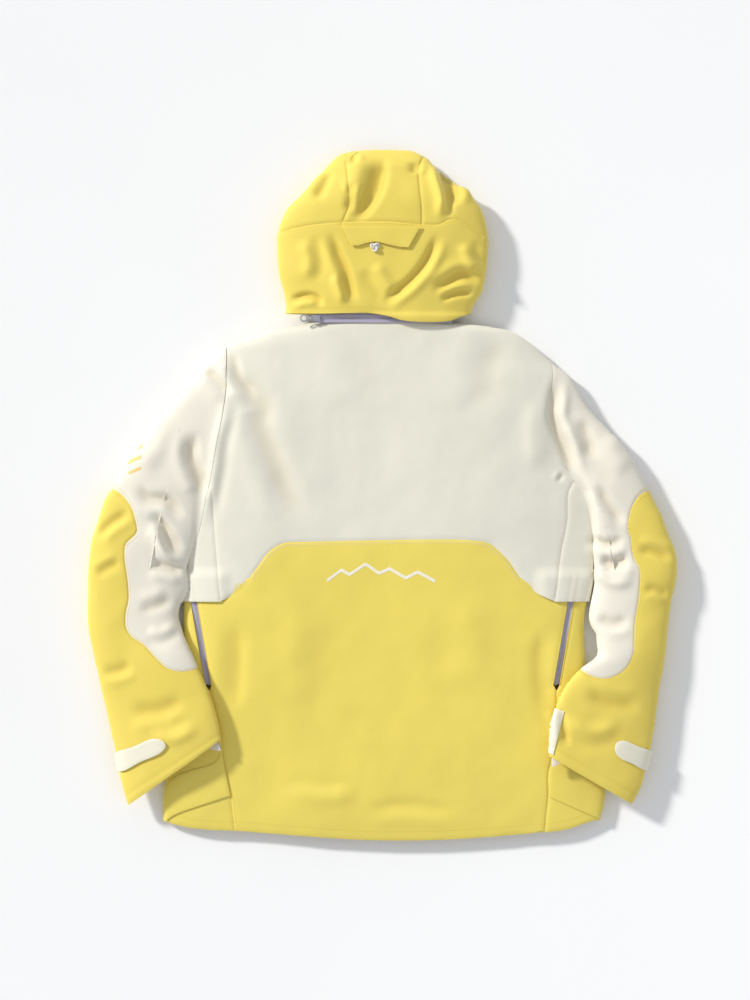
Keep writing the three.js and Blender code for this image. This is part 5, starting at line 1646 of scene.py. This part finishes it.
# ------------------------------------------------------------------ prints
RIDGE = row([(-92, -124), (-70, -108), (-58, -115), (-34, -99), (-14, -113), (2, -106), (26, -120),
    (44, -111), (70, -125)])
upper, lower_ = spaced(RIDGE, 2.0), spaced(RIDGE - (0, 5.0), 2.0)[::-1]
loop = [yx(np.vstack([upper, lower_, upper[:1]]), step=2.0, bend=False)]
panel("back_print_ridge", BODY, loop, M_PRINT, BODY_NAME, [], step=2.4, thick=0.3,
    lift=lambda v, a, p: np.full(len(p), 0.35), edge=0.1)
for k in range(3):
    base = V([-374.0 + k * 2, 66.0 - k * 15.0])
    bar = np.array([(-15, -6), (15, 6), (14, 12.5), (-16, 0.5)]) * (1 - 0.18 * k) + base
    t, a = locate(SLEEVE[-1], spaced(np.vstack([bar, bar[:1]]), 1.6))
    panel(f"sleeve_print_bar_{k + 1}", SLEEVE[-1], [(t, a)], M_PRINT_SLEEVE, "sleeve_left", [],
        step=2.2, thick=0.3, lift=lambda v, a, p: np.full(len(p), 0.35),
            edge=0.1)

# ------------------------------------------------------------------ stitching
yoke_flat = BODY.flat(*cut(yoke_curve, -122, 0))
hem_flat = BODY.flat(*yx(HEM + (0, 14)))
seams_cream = [stitch_run(BODY, yoke_flat, 3.0), stitch_run(BODY, yoke_flat, 5.2)]
stitches("yoke_stitching", seams_cream, M_THREAD_CREAM, BODY_NAME)
stitches("hem_stitching", [stitch_run(BODY, hem_flat)]
    + [stitch_run(BODY, BODY.flat(*low_curves[s]), s * 3.0) for s in (1, -1)], M_THREAD_YELLOW, BODY_NAME)
hood_runs = [stitch_run(HOOD, HOOD.flat(*hood_seam_curve), o) for o in (2.8,)]
hood_runs += [stitch_run(HOOD, HOOD.flat(*centre_curves[s]), o) for s in (1, -1) for o in (2.8,)]
hood_runs += [stitch_run(HOOD, HOOD.flat(*hx(HOOD_HEM + (0, 9))))]
stitches("hood_stitching", hood_runs, M_THREAD_YELLOW, "hood")
for side, tag in ((1, "right"), (-1, "left")):
    t, a = sleeve_seams[side]
    runs = [stitch_run(SLEEVE[side], SLEEVE[side].flat(t, a), o) for o in (2.6, -2.6)]
    w = np.linspace(-math.pi, math.pi, 160)
    runs.append(stitch_run(SLEEVE[side], SLEEVE[side].flat(np.full(160, CUFF_SEAM), w), 0.0))
    stitches(f"sleeve_stitching_{tag}", runs, M_THREAD_YELLOW, f"sleeve_{tag}")

# ------------------------------------------------------------------ CAD pieces that stay, floor, finish
for name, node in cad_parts.items():
    if node.type == "MESH" and not node.hide_render and ("slider" in name or "pull" in name
        or "eyelet" in name):
        node.data.materials.clear()
        node.data.materials.append(M_METAL)
        node.data.update()

floor_size = 6.0
floor = mesh_object("floor", [(x * floor_size / MM, y * floor_size / MM, 0) for x,
    y in ((-1, -1), (1, -1), (1, 1), (-1, 1))], [(0, 1, 2, 3)], M_FLOOR, smooth_faces=False)
floor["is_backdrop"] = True

low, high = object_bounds()
